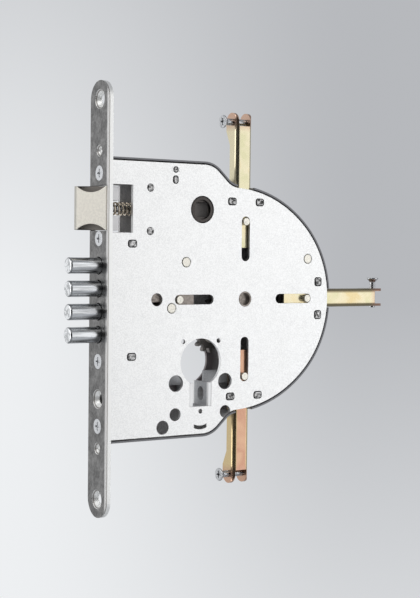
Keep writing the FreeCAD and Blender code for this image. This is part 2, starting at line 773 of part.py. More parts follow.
def make_drive_wheel():
    wheel = fuse([
        gear_block(WHEEL_TEETH, idler_angle(), WHEEL_Y, WHEEL_Y + WHEEL_PLATE, (GEAR_X, 0)),
        disc_y(GEAR_X, 0, BOSS_R, PINION_END_Y, FLOOR_Y - SLIDE_GAP),
    ])
    return wheel.cut(disc_y(GEAR_X, 0, ARBOR_R + PRESS_GAP, OUTER_Y, BACK_Y))


def make_drive_arbor():
    # Solid, with a dished end in each plate
    arbor = disc_y(GEAR_X, 0, ARBOR_R, OUTER_Y + JOURNAL_SHORT, BACK_Y - JOURNAL_SHORT)
    return cut(arbor, [
        disc_y(GEAR_X, 0, ARBOR_DISH_R, OUTER_Y, OUTER_Y + ARBOR_DISH_DEPTH),
        disc_y(GEAR_X, 0, ARBOR_DISH_R, BACK_Y - ARBOR_DISH_DEPTH, BACK_Y),
    ])


def make_idler_gear():
    # A gap faces the wheel, so two teeth straddle the line to the cylinder
    tooth_at = idler_angle() + 180.0 / IDLER_TEETH
    centre = idler_place()
    y1 = WHEEL_Y + WHEEL_PLATE
    gear = fuse([
        gear_block(IDLER_TEETH, tooth_at, WHEEL_Y, y1, centre),
        disc_y(*centre, IDLER_STUD_R + IDLER_BOSS, y1, FLOOR_Y - SLIDE_GAP),
    ])
    return gear.cut(disc_y(*centre, IDLER_STUD_R + RUNNING_FIT, OUTER_Y, BACK_Y))


def make_idler_stud():
    x, z = idler_place()
    lip, thick = STUD_HEAD
    under = WHEEL_Y - SLIDE_GAP
    return fuse([
        disc_y(x, z, IDLER_STUD_R, under, BACK_Y),
        disc_y(x, z, IDLER_STUD_R + lip, under - thick, under),
    ])


# Bolts and their carriage

def make_bolt(z):
    bolt = disc_x(0, z, BOLT_R, -BOLT_THROW, BOLT_TAIL_X)
    tip = [e for e in bolt.Edges if abs(e.BoundBox.XMax + BOLT_THROW) < TINY]
    bolt = bolt.makeFillet(BOLT_TIP_ROUND, tip)
    x0 = FLANGE_X - STAKE_FIT
    x1 = FLANGE_X + FLANGE_PLATE + STAKE_FIT
    ring = disc_x(0, z, BOLT_R + PAST, x0, x1)
    neck = disc_x(0, z, BOLT_NECK_R, x0, x1)
    return bolt.cut(ring.cut(neck))


def make_bolt_carriage():
    y0 = CARRIAGE_Y
    y1 = CARRIAGE_Y + CARRIAGE_PLATE
    half = CARRIAGE_HALF_HEIGHT
    flange_end = FLANGE_X + FLANGE_PLATE
    plate = fuse([
        box(FLANGE_X, CARRIAGE_HEAD_END, y0, y1, -half, half),
        box(CARRIAGE_HEAD_END, CARRIAGE_END, y0, y1, CARRIAGE_BOTTOM, CARRIAGE_TOP),
        box(FLANGE_X, flange_end, y0, FLANGE_DEEP_Y, -half, half),
    ])
    notch = BOLT_NECK_R + LOOSE_FIT
    holes = []
    for z in bolt_levels():
        holes.append(disc_x(0, z, notch, FLANGE_X - PAST, flange_end + PAST))
        holes.append(box(FLANGE_X - PAST, flange_end + PAST, 0, FLANGE_DEEP_Y + PAST,
                         z - notch, z + notch))
    post_x, post_z = FORWARD_POSTS[0]
    way = POST_R + POST_WAY_GAP
    low = y0 - PAST
    high = y1 + PAST
    for x in (post_x, post_x - BOLT_THROW):
        holes.append(disc_y(x, post_z, way, low, high))
    holes.append(box(post_x - BOLT_THROW, post_x, low, high, post_z - way, post_z + way))
    holes.append(disc_y(GEAR_X - PIN_REACH, 0, PIN_R + PRESS_GAP, low, high))
    for x, z in carriage_rivet_places():
        holes.append(disc_y(x, z, RIVET_R + PRESS_GAP, low, high))
    return cut(plate, holes)


def make_carriage_pin():
    x = GEAR_X - PIN_REACH
    y1 = CARRIAGE_Y + CARRIAGE_PLATE
    return fuse([
        disc_y(x, 0, PIN_R, OUTER_Y - PIN_PROUD, y1),
        disc_y(x, 0, PIN_R + PIN_HEAD, y1, y1 + PIN_HEAD),
    ])


def make_carriage_rivets():
    rivets = []
    for x, z in carriage_rivet_places():
        rivet = fuse([
            disc_y(x, z, RIVET_R, CARRIAGE_Y, LAYER_A + RACK_PLATE),
            disc_y(x, z, RIVET_R + COLLAR, CARRIAGE_Y + CARRIAGE_PLATE, LAYER_A),
        ])
        rivets.append(rivet)
    return Part.makeCompound(rivets)


# Rods

def rod_side_face(x):
    # Side view of the channel: straight, flared, then a round ear
    narrow = WEB_Y + ROD_DEPTH
    deep = WEB_Y + ROD_END_DEPTH
    ear_r = ROD_END_DEPTH / 2
    a = V(x, WEB_Y, ROD_START)
    b = V(x, narrow, ROD_START)
    c = V(x, narrow, ROD_FLARE_START)
    d = V(x, deep, ROD_FLARE_END)
    e = V(x, deep, ROD_SCREW_REACH)
    f = V(x, WEB_Y + ear_r, ROD_SCREW_REACH + ear_r)
    g = V(x, WEB_Y, ROD_SCREW_REACH)
    edges = [Part.makeLine(p, q) for p, q in ((a, b), (b, c), (c, d), (d, e))]
    edges.append(Part.Arc(e, f, g).toShape())
    edges.append(Part.makeLine(g, a))
    return Part.Face(Part.Wire(edges))


def channel_block(half, y0, y1, z0, z1, bend_r):
    # A bar along Z whose two edges at y0 are rounded
    block = box(-half, half, y0, y1, z0, z1)
    bends = [e for e in block.Edges
             if abs(e.BoundBox.YMax - y0) < TINY and e.BoundBox.ZLength > z1 - z0 - TINY]
    return block.makeFillet(bend_r, bends)


def make_rod():
    half = ROD_WIDTH / 2
    inner_half = half - ROD_SHEET
    deep = WEB_Y + ROD_END_DEPTH
    reach = ROD_SCREW_REACH + ROD_END_DEPTH
    outer = channel_block(half, WEB_Y, deep + PAST, ROD_START, reach, ROD_BEND_R)
    inner = channel_block(inner_half, LAYER_B, deep + 2 * PAST, ROD_START - PAST, reach + PAST,
                          ROD_BEND_R - ROD_SHEET)
    side = rod_side_face(-half - PAST).extrude(V(ROD_WIDTH + 2 * PAST, 0, 0))
    channel = outer.cut(inner).common(side)
    flat_half = half - ROD_BEND_R
    tongue = box(-flat_half, flat_half, WEB_Y, LAYER_B, LEG_START, ROD_START + PAST)
    channel = fuse([channel, tongue])
    ear_y = WEB_Y + ROD_END_DEPTH / 2
    screw_hole_r = CLAMP_SCREW_R + LOOSE_FIT
    channel = cut(channel, [
        box(-inner_half, inner_half, WEB_Y - PAST, deep, ROD_WEB_END, reach),
        disc_x(ear_y, ROD_SCREW_REACH, screw_hole_r, -half - PAST, half + PAST),
        disc_y(0, PIN_REACH, PIN_R + PRESS_GAP, WEB_Y - PAST, LAYER_B + PAST),
        disc_y(0, RIVET_REACH, RIVET_R + PRESS_GAP, WEB_Y - PAST, LAYER_B + PAST),
    ])
    channel.translate(V(GEAR_X, 0, 0))
    return channel


def rack_fastener(reach, radius, y0, rack_y):
    # A pin through web and rack, with a collar where the two stand apart
    parts = [disc_y(GEAR_X, reach, radius, y0, rack_y + RACK_PLATE)]
    if rack_y > LAYER_B + TINY:
        parts.append(disc_y(GEAR_X, reach, radius + COLLAR, LAYER_B, rack_y))
    return fuse(parts)


def make_rod_pin(rack_y):
    return rack_fastener(PIN_REACH, PIN_R, OUTER_Y - PIN_PROUD, rack_y)


def make_rack_rivet(rack_y):
    return rack_fastener(RIVET_REACH, RIVET_R, WEB_Y, rack_y)


def make_clamp_screw(head_side):
    # Cross-slotted countersunk head, backed out as it is before a rod is clamped
    under = ROD_WIDTH / 2 + CLAMP_BACKED_OUT
    shank = disc_x(0, 0, CLAMP_SCREW_R, 0, CLAMP_LENGTH)
    cone = CLAMP_HEAD_HEIGHT - CLAMP_HEAD_RIM
    head = fuse([
        disc_x(0, 0, CLAMP_HEAD_R, -CLAMP_HEAD_HEIGHT, -cone),
        Part.makeCone(CLAMP_HEAD_R, CLAMP_SCREW_R, cone, V(-cone, 0, 0), V(1, 0, 0)),
    ])
    rim = [e for e in head.Edges if abs(e.BoundBox.XMax + CLAMP_HEAD_HEIGHT) < TINY]
    head = head.makeFillet(CLAMP_HEAD_ROUND, rim)
    screw = cut(fuse([shank, head]), cross_recess(-CLAMP_HEAD_HEIGHT, CLAMP_RECESS))
    screw.translate(V(-under, WEB_Y + ROD_END_DEPTH / 2, ROD_SCREW_REACH))
    if head_side > 0:
        screw = screw.mirror(V(0, 0, 0), V(1, 0, 0))
    screw.translate(V(GEAR_X, 0, 0))
    return screw


# Latch and follower

def latch_ramp():
    near = V(LATCH_RAMP_START, -LATCH_HALF_THICKNESS, 0)
    tip = V(-LATCH_REACH, LATCH_HALF_THICKNESS - LATCH_NOSE, 0)
    return near, tip


def latch_block():
    near, tip = latch_ramp()
    wide = LATCH_HALF_THICKNESS
    thin = LATCH_TAIL_HALF
    corners = [
        (near.x, near.y), (LATCH_SHOULDER_X, -wide), (LATCH_SHOULDER_X, -thin),
        (LATCH_TAIL_X, -thin), (LATCH_TAIL_X, thin), (LATCH_SHOULDER_X, thin),
        (LATCH_SHOULDER_X, wide), (tip.x, wide), (tip.x, tip.y),
    ]
    low = LATCH_Z - LATCH_HALF
    wire = Part.makePolygon([V(x, y, low) for x, y in corners + corners[:1]])
    block = Part.Face(wire).extrude(V(0, 0, LATCH_HEIGHT))
    nose = [e for e in block.Edges
            if e.BoundBox.ZLength > LATCH_HALF and abs(e.BoundBox.XMax - tip.x) < TINY]
    return block.makeFillet(LATCH_NOSE_ROUND, nose)


def latch_scoops():
    # Round hollows across the ramp, one from the top and one from the bottom
    near, tip = latch_ramp()
    ramp = tip - near
    middle = (tip + near) * 0.5
    inward = V(-ramp.y, ramp.x, 0)
    if inward.x < 0:
        inward = inward * -1
    inward.normalize()
    radius = SCOOP_CHORD ** 2 / (8 * SCOOP_DEPTH) + SCOOP_DEPTH / 2
    scoops = []
    for side in (-1, 1):
        z = LATCH_Z + side * (LATCH_HALF + radius - SCOOP_DEPTH)
        start = middle - inward * LATCH_SHOULDER_X + V(0, 0, z)
        scoops.append(Part.makeCylinder(radius, LATCH_SHOULDER_X + SCOOP_CUT, start, inward))
    return scoops


def make_latch_bolt():
    wide = LATCH_HALF_THICKNESS + PAST
    slot = box(LATCH_SLOT_START, LATCH_TAIL_X + PAST, -wide, wide,
               LATCH_Z - LATCH_SLOT_HALF, LATCH_Z + LATCH_SLOT_HALF)
    bore = disc_x(0, LATCH_Z, ROD_TAIL_R + PRESS_GAP, ROD_TAIL_START, LATCH_TAIL_X)
    return cut(latch_block(), latch_scoops() + [slot, bore])


def make_latch_rod():
    end = TAIL_FLANGE_X + TAIL_PLATE + NUT_HEIGHT + PAST
    return disc_x(0, LATCH_Z, ROD_TAIL_R, ROD_TAIL_START, end)


def biarc(p0, t0, p1, t1):
    # Two arcs that join both ends and share a tangent where they meet
    chord = p1 - p0
    total = t0 + t1
    across = chord.dot(total)
    turn = 2 * (1 - t0.dot(t1))
    reach = (math.sqrt(across ** 2 + turn * chord.dot(chord)) - across) / turn
    q0 = p0 + t0 * reach
    q1 = p1 - t1 * reach
    joint = (q0 + q1) * 0.5
    return [arc_by_corner(p0, q0, joint), arc_by_corner(joint, q1, p1)]


def arc_by_corner(start, corner, end):
    middle = (start + end) * 0.5
    out = corner - middle
    half = start.distanceToPoint(end) / 2
    radius = half * start.distanceToPoint(corner) / out.Length
    sagitta = radius - math.sqrt(radius ** 2 - half ** 2)
    out.normalize()
    return Part.Arc(start, middle + out * sagitta, end).toShape()


def spring_point(turns, x0, pitch):
    angle = 2 * math.pi * turns
    y = SPRING_MEAN_R * math.cos(angle)
    z = LATCH_Z + SPRING_MEAN_R * math.sin(angle)
    return V(x0 + pitch * turns, y, z)


def spring_tangent(turns, pitch):
    angle = 2 * math.pi * turns
    sweep = 2 * math.pi * SPRING_MEAN_R
    way = V(pitch, -sweep * math.sin(angle), sweep * math.cos(angle))
    way.normalize()
    return way


def make_latch_spring():
    # One tube: a straight end square to each seat, a quarter bend, then the open coils
    wire_d = 2 * SPRING_WIRE_R
    bend = wire_d * SPRING_BEND
    x0 = LATCH_SLOT_START + SPRING_SEAT_GAP
    x1 = GUIDE_X - SPRING_SEAT_GAP
    coil_start = x0 + wire_d + bend
    coil_end = x1 - wire_d - bend
    pitch = (coil_end - coil_start) / SPRING_TURNS
    first = spring_point(0, coil_start, pitch)
    first_way = spring_tangent(0, pitch)
    lead = first - first_way * bend - V(bend, 0, 0)
    seat = V(x0, lead.y, lead.z)
    edges = [Part.makeLine(seat, lead)]
    edges += biarc(lead, V(1, 0, 0), first, first_way)
    for i in range(int(SPRING_TURNS * 4)):
        here = i / 4
        there = (i + 1) / 4
        edges += biarc(spring_point(here, coil_start, pitch), spring_tangent(here, pitch),
                       spring_point(there, coil_start, pitch), spring_tangent(there, pitch))
    last = spring_point(SPRING_TURNS, coil_start, pitch)
    last_way = spring_tangent(SPRING_TURNS, pitch)
    away = last + last_way * bend + V(bend, 0, 0)
    edges += biarc(last, last_way, away, V(1, 0, 0))
    edges.append(Part.makeLine(away, V(x1, away.y, away.z)))
    path = Part.Wire(edges)
    ring = Part.Wire(Part.makeCircle(SPRING_WIRE_R, seat, V(1, 0, 0)))
    report_spring_gap(path, wire_d)
    return path.makePipeShell([ring], True, False)


def report_spring_gap(path, wire_d):
    # Least free gap between stretches of the wire more than half a turn apart
    points = path.discretize(Number=SPRING_SAMPLES)
    step = path.Length / (SPRING_SAMPLES - 1)
    skip = int(math.pi * SPRING_MEAN_R / step)
    least = path.Length
    for i, point in enumerate(points):
        for other in points[i + skip:]:
            least = min(least, point.distanceToPoint(other))
    print("latch spring: least gap to itself %.2f mm" % (least - wire_d))


def make_latch_tail():
    # A strip behind the follower: an ear on the latch rod and a lug for the follower's arm
    x0 = TAIL_FLANGE_X
    y1 = TAIL_Y + TAIL_PLATE
    lug_x = BACKSET + ARM_WIDTH / 2 + ARM_GAP
    end = lug_x + TAIL_PLATE
    tail = fuse([
        box(x0, end, TAIL_Y, y1, TAIL_LOW, TAIL_HIGH),
        box(x0, x0 + TAIL_RISER, TAIL_Y, y1, TAIL_LOW, LATCH_Z - TAIL_EAR),
        box(x0, x0 + TAIL_PLATE, -TAIL_EAR, y1, LATCH_Z - 2 * TAIL_EAR, LATCH_Z + TAIL_EAR),
        box(lug_x, end, ARM_Y, y1, TAIL_LOW, TAIL_HIGH),
    ])
    hole_r = ROD_TAIL_R + THREAD_GAP
    return tail.cut(disc_x(0, LATCH_Z, hole_r, x0 - PAST, x0 + TAIL_PLATE + PAST))


def make_latch_nut():
    x0 = TAIL_FLANGE_X + TAIL_PLATE
    corner = NUT_FLATS / math.sqrt(3)
    places = [on_circle((0.0, LATCH_Z), corner, 60.0 * i) for i in range(6)]
    corners = [V(x0, y, z) for y, z in places]
    nut = Part.Face(Part.makePolygon(corners + corners[:1])).extrude(V(NUT_HEIGHT, 0, 0))
    return nut.cut(disc_x(0, LATCH_Z, ROD_TAIL_R + PRESS_GAP, x0, x0 + NUT_HEIGHT))


def make_follower():
    journal_r = FOLLOWER_HOLE_R - RUNNING_FIT
    y0 = OUTER_Y + JOURNAL_SHORT
    y1 = BACK_Y - JOURNAL_SHORT
    body = disc_y(BACKSET, FOLLOWER_Z, FOLLOWER_R, INNER_Y + SLIDE_GAP, FLOOR_Y - SLIDE_GAP)
    journal = disc_y(BACKSET, FOLLOWER_Z, journal_r, y0, y1)
    rims = [e for e in journal.Edges if e.Curve.TypeId == "Part::GeomCircle"]
    journal = journal.makeChamfer(FOLLOWER_CHAMFER, rims)
    half = ARM_WIDTH / 2
    arm = box(BACKSET - half, BACKSET + half, ARM_Y, TAIL_Y - ARM_GAP,
              FOLLOWER_Z - ARM_REACH, FOLLOWER_Z)
    square = SPINDLE / 2
    return cut(fuse([body, journal, arm]), [
        box(BACKSET - square, BACKSET + square, OUTER_Y, BACK_Y,
            FOLLOWER_Z - square, FOLLOWER_Z + square),
        disc_y(BACKSET, FOLLOWER_Z, FOLLOWER_LEAD_R, OUTER_Y, y0 + FOLLOWER_LEAD_DEPTH),
        disc_y(BACKSET, FOLLOWER_Z, FOLLOWER_LEAD_R, y1 - FOLLOWER_LEAD_DEPTH, BACK_Y),
    ])


def make_fixed_pieces():
    pieces = {
        "forend": make_forend(),
        "forend_screws": make_lug_screws(),
        "upper_outer_lug": make_outer_lug(OUTER_SCREW_Z),
        "lower_outer_lug": make_outer_lug(-OUTER_SCREW_Z),
        "upper_inner_lug": make_inner_lug(1),
        "lower_inner_lug": make_inner_lug(-1),
        "case_body": make_case_body(),
        "front_plate": make_front_plate(),
        "spacer_posts": make_spacer_posts(),
        "spacer_bar": make_spacer_bar(),
        "latch_guide": make_latch_guide(),
        "cylinder_guide": make_cylinder_guide(),
        "idler_stud": make_idler_stud(),
    }
    guide = make_rod_guide(ROD_GUIDE_REACH, ROD_GUIDE_SPREAD, GUIDE_TAB)
    pieces["top_rod_guide"] = guide
    pieces["bottom_rod_guide"] = place_round_gear(guide, 180)
    end_guide = make_rod_guide(END_GUIDE_REACH, END_GUIDE_SPREAD, END_GUIDE_TAB)
    pieces["back_rod_guide"] = place_round_gear(end_guide, 90)
    return pieces


def make_bolt_pieces():
    names = ("top_bolt", "upper_middle_bolt", "lower_middle_bolt", "bottom_bolt")
    pieces = {name: make_bolt(z) for name, z in zip(names, bolt_levels())}
    pieces["bolt_carriage"] = make_bolt_carriage()
    pieces["carriage_rack"] = make_carriage_rack()
    pieces["carriage_pin"] = make_carriage_pin()
    pieces["carriage_rivets"] = make_carriage_rivets()
    return pieces


def make_rod_pieces():
    pieces = {}
    places = (("top", 0, LAYER_B, -1), ("back", 90, LAYER_A, -1), ("bottom", 180, LAYER_B, 1))
    for name, turn, rack_y, head_side in places:
        pieces[name + "_rod"] = place_round_gear(make_rod(), turn)
        pieces[name + "_rod_rack"] = place_round_gear(make_rod_rack(rack_y), turn)
        pieces[name + "_rod_pin"] = place_round_gear(make_rod_pin(rack_y), turn)
        pieces[name + "_rack_rivet"] = place_round_gear(make_rack_rivet(rack_y), turn)
        pieces[name + "_clamp_screw"] = place_round_gear(make_clamp_screw(head_side), turn)
    return pieces


def make_drive_pieces():
    return {
        "rack_pinion": make_rack_pinion(),
        "drive_wheel": make_drive_wheel(),
        "drive_arbor": make_drive_arbor(),
        "idler_gear": make_idler_gear(),
    }


def make_latch_pieces():
    return {
        "latch_bolt": make_latch_bolt(),
        "latch_rod": make_latch_rod(),
        "latch_spring": make_latch_spring(),
        "latch_tail": make_latch_tail(),
        "latch_nut": make_latch_nut(),
        "follower": make_follower(),
    }


def main():
    os.makedirs("parts", exist_ok=True)
    for pieces in (make_fixed_pieces(), make_bolt_pieces(), make_rod_pieces(),
                   make_drive_pieces(), make_latch_pieces()):
        for name, shape in pieces.items():
            write(name, shape)


main()
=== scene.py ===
import math

import bpy
from mathutils import Matrix, Vector


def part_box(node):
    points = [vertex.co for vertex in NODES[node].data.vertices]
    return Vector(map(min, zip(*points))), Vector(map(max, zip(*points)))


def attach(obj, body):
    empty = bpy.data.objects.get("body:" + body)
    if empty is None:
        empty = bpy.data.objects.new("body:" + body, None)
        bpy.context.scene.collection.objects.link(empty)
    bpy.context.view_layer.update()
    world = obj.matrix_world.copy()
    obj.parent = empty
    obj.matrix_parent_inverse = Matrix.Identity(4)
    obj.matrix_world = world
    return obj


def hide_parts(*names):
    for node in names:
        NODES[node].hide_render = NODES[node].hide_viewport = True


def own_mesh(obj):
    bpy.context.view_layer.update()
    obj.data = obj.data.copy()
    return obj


bl_info = {
    "name": "Multi-point mortise lock",
    "version": (1, 0, 0),
    "blender": (4, 5, 0),
    "location": "View3D > Sidebar > Lock",
    "description": "Dresses a mortise lock with four round bolts, a sprung latch and three rods",
    "category": "Object",
}

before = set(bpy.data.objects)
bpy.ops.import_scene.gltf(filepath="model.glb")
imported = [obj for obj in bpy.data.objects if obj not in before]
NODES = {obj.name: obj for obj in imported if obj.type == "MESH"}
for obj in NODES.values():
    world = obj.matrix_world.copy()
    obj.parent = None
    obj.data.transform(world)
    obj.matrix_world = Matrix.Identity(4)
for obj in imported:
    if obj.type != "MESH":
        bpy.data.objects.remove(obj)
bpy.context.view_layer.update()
MM = 0.001
GEAR_X = 90.5 * MM
CYLINDER_X = 61.0 * MM
CYLINDER_Z = -35.0 * MM

# The rods' half width and sheet, the screws' radius and how far they are backed out
ROD_HALF = 5.4 * MM
ROD_SHEET = 1.6 * MM
SCREW_R = 1.75 * MM
BACKED_OUT = 3.8 * MM

# The thread's radius over its pitch, the sides of its section, and the steps in a turn of any coil
THREAD_DEPTH = 0.3
THREAD_SIDES = 3
STEPS_PER_TURN = 24

# The spring's sides round the wire, its turns, its end bends' radius over the wire's and their steps, and its
# length with the latch in over that at rest
WIRE_SIDES = 14
SPRING_TURNS = 7.5
SPRING_BEND = 2.4
BEND_STEPS = 4

# How close corners are joined, the most that a flat face bends, and the least angle of a sharp edge
JOIN_WITHIN = 1e-6
FLAT_ANGLE = math.radians(0.5)
SHARP_ANGLE = math.radians(35)

# How a peened end is shaped, in its half depths: its rise, its rim, the slope inside it and the dish
PEEN_RISE = 0.5
PEEN_RIM = 1.6
PEEN_SLOPE = 1.4
PEEN_DISH = 1.1

# Where the finishes change, each from and to. Zinc: the sheet's cut edge, off the middle plane, darkened as
# painted shade on the tray and the staked tabs; the painted shade round the idler gear, off the cylinder's axis
# and inside the far wall
CUT_EDGE = (6.25 * MM, 6.6 * MM)
IDLER_SHADE_RING = (24 * MM, 17 * MM)
INNER_WALL = (7.9 * MM, 7.6 * MM)

# Forend: the face's edge on the cover's side, lightened as painted highlight, along Y; its sides, along X; the
# painted shade line's place and half width
LIT_FACE_EDGE = (-8.0 * MM, -9.0 * MM)
FOREND_SIDES = (0.05 * MM, 0.25 * MM)
SHADE_LINE_X = 0.62 * MM
SHADE_LINE_HALF = (0.2 * MM, 0.32 * MM)

# Bolts, along X: the end's face, made brighter in part as painted highlight, and the painted shade ring behind
# it
BOLT_FACE = (-18.3 * MM, -18.4 * MM)
BOLT_SHADE_RING = (-17.4 * MM, -17.6 * MM)

# Rods: the flanks, off the rod's middle, which on the back rod take a painted dark reflection; the ears and the
# stretch that takes painted shade inside the case, off the gears' axis; the inside of the bent sheet, along Y
ROD_FLANKS = (2.9 * MM, 3.5 * MM)
ROD_EARS = (95 * MM, 100 * MM)
ROD_SHADED_STRETCH = (69 * MM, 60 * MM)
ROD_INSIDE = (-5.5 * MM, -4.0 * MM)

# Latch: two points of the ramp, the hollows behind it, and along X the head, the body and the blunt tip, whose
# grey is painted shade on its rounding
RAMP_NEAR = Vector((-0.3, -8.6, 0.0)) * MM
RAMP_TIP = Vector((-10.6, 6.9, 0.0)) * MM
LATCH_HOLLOWS = (0.5 * MM, 1.0 * MM)
LATCH_HEAD = (3.0 * MM, 2.5 * MM)
LATCH_BODY = (2.8 * MM, 3.0 * MM)
LATCH_TIP_SHADE = (-10.1 * MM, -10.4 * MM)

# The camera, fitted to the photo's straight edges and holes: its place, and its yaw, pitch and roll in degrees
CAMERA_PLACE = (-0.345489, -0.6326, 0.025742)
CAMERA_ANGLES = (-33.416, -1.952, 0.626)
SENSOR_WIDTH = 36.0

FLOOR_PLACE = (0.09, 0, -0.6)
FLOOR_RADIUS = 1.5
FLOOR_SIDES = 96

# The backdrop's turn about Z, and where its tones change over the directions seen, from and to: pale to grey
# from left to right, each side from low to high, dark round the camera, and dimmer overhead
BACKDROP_TURN = math.radians(33.4)
LEFT_TO_RIGHT = (-0.16, 0.12)
LEFT_SIDE = (-0.03, 0.19)
RIGHT_SIDE = (-0.25, -0.03)
FACING = (-0.3, -0.6)
OVERHEAD = (0.35, 0.75)

# The soft boxes with their place, width, height and radiance: in front on the right, behind on the left, far
# behind on the left, and high in front on the left. They are turned to the lit point
LAMPS = (
    ("soft_box_right", (0.84, -1.17, 0.22), 1.3, 1.6, 1.0),
    ("soft_box_left", (-1.2, 0.5, 0.1), 0.9, 1.2, 1.6),
    ("soft_box_back", (-0.75, 1.15, 0.45), 1.0, 0.9, 0.2),
    ("soft_box_high", (-0.9, -0.55, 1.0), 0.8, 0.8, 2.6),
)
LIT_POINT = Vector((0.07, 0, 0))

RODS = ("top", "back", "bottom")
BOLTS = ("top_bolt", "upper_middle_bolt", "lower_middle_bolt", "bottom_bolt")

# The staked ends, as x and z of the middle, width and height, in millimetres
STAKES_MM = (
    (16.35, 30.5, 5.2, 3.8), (16.35, -30.5, 5.2, 3.8),
    (81.0, 55.1, 5.3, 3.9), (100.0, 55.1, 5.3, 3.9),
    (81.0, -55.1, 5.3, 3.9), (100.0, -55.1, 5.3, 3.9),
    (142.8, 9.7, 4.8, 4.8), (142.8, -9.7, 4.8, 4.8),
    (43.35, 71.4, 2.8, 3.0), (43.35, 65.9, 3.1, 4.1),
    (27.4, 60.95, 4.2, 4.2), (27.4, 37.45, 4.2, 4.2),
)
STAKES = [[MM * value for value in stake] for stake in STAKES_MM]


def paint(code):
    """Linear colour of an sRGB hex code."""
    channels = [int(code[i:i + 2], 16) / 255 for i in (1, 3, 5)]
    return [c / 12.92 if c <= 0.04045 else ((c + 0.055) / 1.055) ** 2.4 for c in channels]


def colour(name, description, code):
    return bpy.props.FloatVectorProperty(
        name=name, description=description, subtype="COLOR", size=3, min=0.0, max=1.0, default=paint(code))


def length(name, description, metres):
    return bpy.props.FloatProperty(
        name=name, description=description, subtype="DISTANCE", unit="LENGTH", default=metres, precision=5)


class LOCK_PG_finish(bpy.types.PropertyGroup):
    plate: colour("Cover plate", "Bright zinc plate of the cover", "#F6F6F5")
    plate_dull: colour("Cover plate, dull spots", "Duller spots in the bright zinc", "#E9E9E8")
    tray: colour("Case tray", "Dull zinc of the case's back plate and rim", "#DAD9D9")
    # The guide's tone, darker than the tray's, is painted shade inside the cylinder's opening
    guide: colour("Cylinder guide", "Dull zinc of the bent sheet round the cylinder's stem", "#B4B5B7")
    # Painted shade: the brown round the idler gear
    idler_shade: colour("Grease", "Brown grease round the idler gear", "#5B4F50")
    # Painted shade: the dark of the gap round the cover, on the tray rim's front edge
    tray_edge_shade: colour("Case tray, edge", "Sheared edge of the tray's rim", "#77777A")
    stake: colour("Staked ends", "Bare steel of the peened ends", "#CFCECD")
    # Painted shade: the dark of the groove round the peened ends
    stake_groove_shade: colour("Staked ends, groove", "Dark groove round the peened ends", "#2E2D2E")
    forend: colour("Forend face", "Brushed nickel of the forend's face", "#706F6E")
    # The sides' bright tone is the nickel's own, in the sinks partly painted reflection
    forend_side_and_sheen: colour("Forend sides", "Bright nickel of the forend's sides and sinks", "#F4F4F2")
    # Painted shade: the dark line along the forend's rounded edge
    forend_line_shade: colour("Forend, line", "Brown burr line where the face's edge ends", "#A19D99")
    bolt: colour("Bolts", "Drawn and plated steel of the bolts", "#D6D8DA")
    # The ends' bright tone is partly painted highlight
    bolt_end_and_highlight: colour("Bolts, ends", "Turned ends of the bolts", "#F0F1F2")
    screw: colour("Screws", "Bright zinc of the screws", "#D6D7D9")
    rivet: colour("Rivets", "Cream zinc of the pins and riveted posts", "#F1EDE2")
    latch: colour("Latch", "Nickel plate on the cast latch", "#F2EDE1")
    # Painted shade: the grey of the latch's rounded tip
    latch_tip_shade: colour("Latch, tip", "Worn nickel of the latch's blunt tip", "#B4B1AA")
    # Darker grey in the latch's hollows behind the ramp
    latch_hollow_grey: colour("Latch, cast hollows", "Bare cast skin in the latch's hollows", "#77726C")
    follower: colour("Follower", "Cast zinc of the hub", "#524E4C")
    spring: colour("Spring", "Oiled spring wire", "#E3D6C2")
    gear: colour("Gears", "Pressed steel of the gears and racks", "#7F7A76")
    carriage: colour("Carriage", "Oiled steel of the bolt carriage", "#958D86")
    rod_cream: colour("Rods, cream", "Palest bands of the yellow passivate", "#D5CCAF")
    rod_green: colour("Rods, green", "Green bands of the yellow passivate", "#C6C29E")
    rod_gold: colour("Rods, gold", "Gold bands of the yellow passivate", "#CFBC8F")
    rod_peach: colour("Rods, peach", "Peach bands of the yellow passivate", "#C29E83")
    rod_pink: colour("Rods, pink", "Pink bands of the yellow passivate", "#B38973")
    # Painted dark reflection on the back rod's bends
    rod_bend_shade: colour("Rods, olive", "Dark olive of the passivate on the back rod's bends", "#7C7158")
    # Painted shade on the rods where they run inside the case
    rod_inside_shade: colour("Rods, oiled", "Oily brown of the rods' flanks inside the case", "#453C34")
    rod_ear: colour("Rods, ears", "Brownish pink of the passivate at the rods' ends", "#B98F80")


class LOCK_PG_sizes(bpy.types.PropertyGroup):
    sheet_edge: length("Sheet edge", "Rounding that punching leaves on the sheet's edges", 0.0002)
    forend_edge: length("Forend edge", "Rounding of the forend's edges", 0.0006)
    cast_edge: length("Cast edge", "Rounding of the cast pieces' edges", 0.00035)
    fine_edge: length("Fine edge", "Rounding of the small turned and pressed pieces", 0.00012)
    stake_depth: length("Staked end", "Half the depth of a peened end", 0.0002)
    stake_gap: length("Staked gap", "How far a peened end stays inside its tab", 0.00035)
    stake_round: length("Staked corner", "Rounding of a peened end's corners", 0.001)
    wire_radius: length("Spring wire", "Radius of the latch spring's wire", 0.0005)
    coil_radius: length("Spring coil", "Radius of the coil, to the middle of the wire", 0.00325)
    thread_pitch: length("Thread pitch", "Pitch of the clamp screws' thread", 0.0007)


class LOCK_PG_stage(bpy.types.PropertyGroup):
    pale: colour("Backdrop, pale side", "Lit side of the backdrop", "#EEF0F2")
    grey: colour("Backdrop, far corner", "Shaded corner of the backdrop", "#B4B6BA")
    floor: colour("Floor", "Plain pale floor", "#D9DBDE")
    room: colour("Room", "The rest of the room, which lights the floor", "#B9BABC")
    lens: bpy.props.FloatProperty(
        name="Lens", description="Focal length of the camera", subtype="DISTANCE_CAMERA", default=80.656)


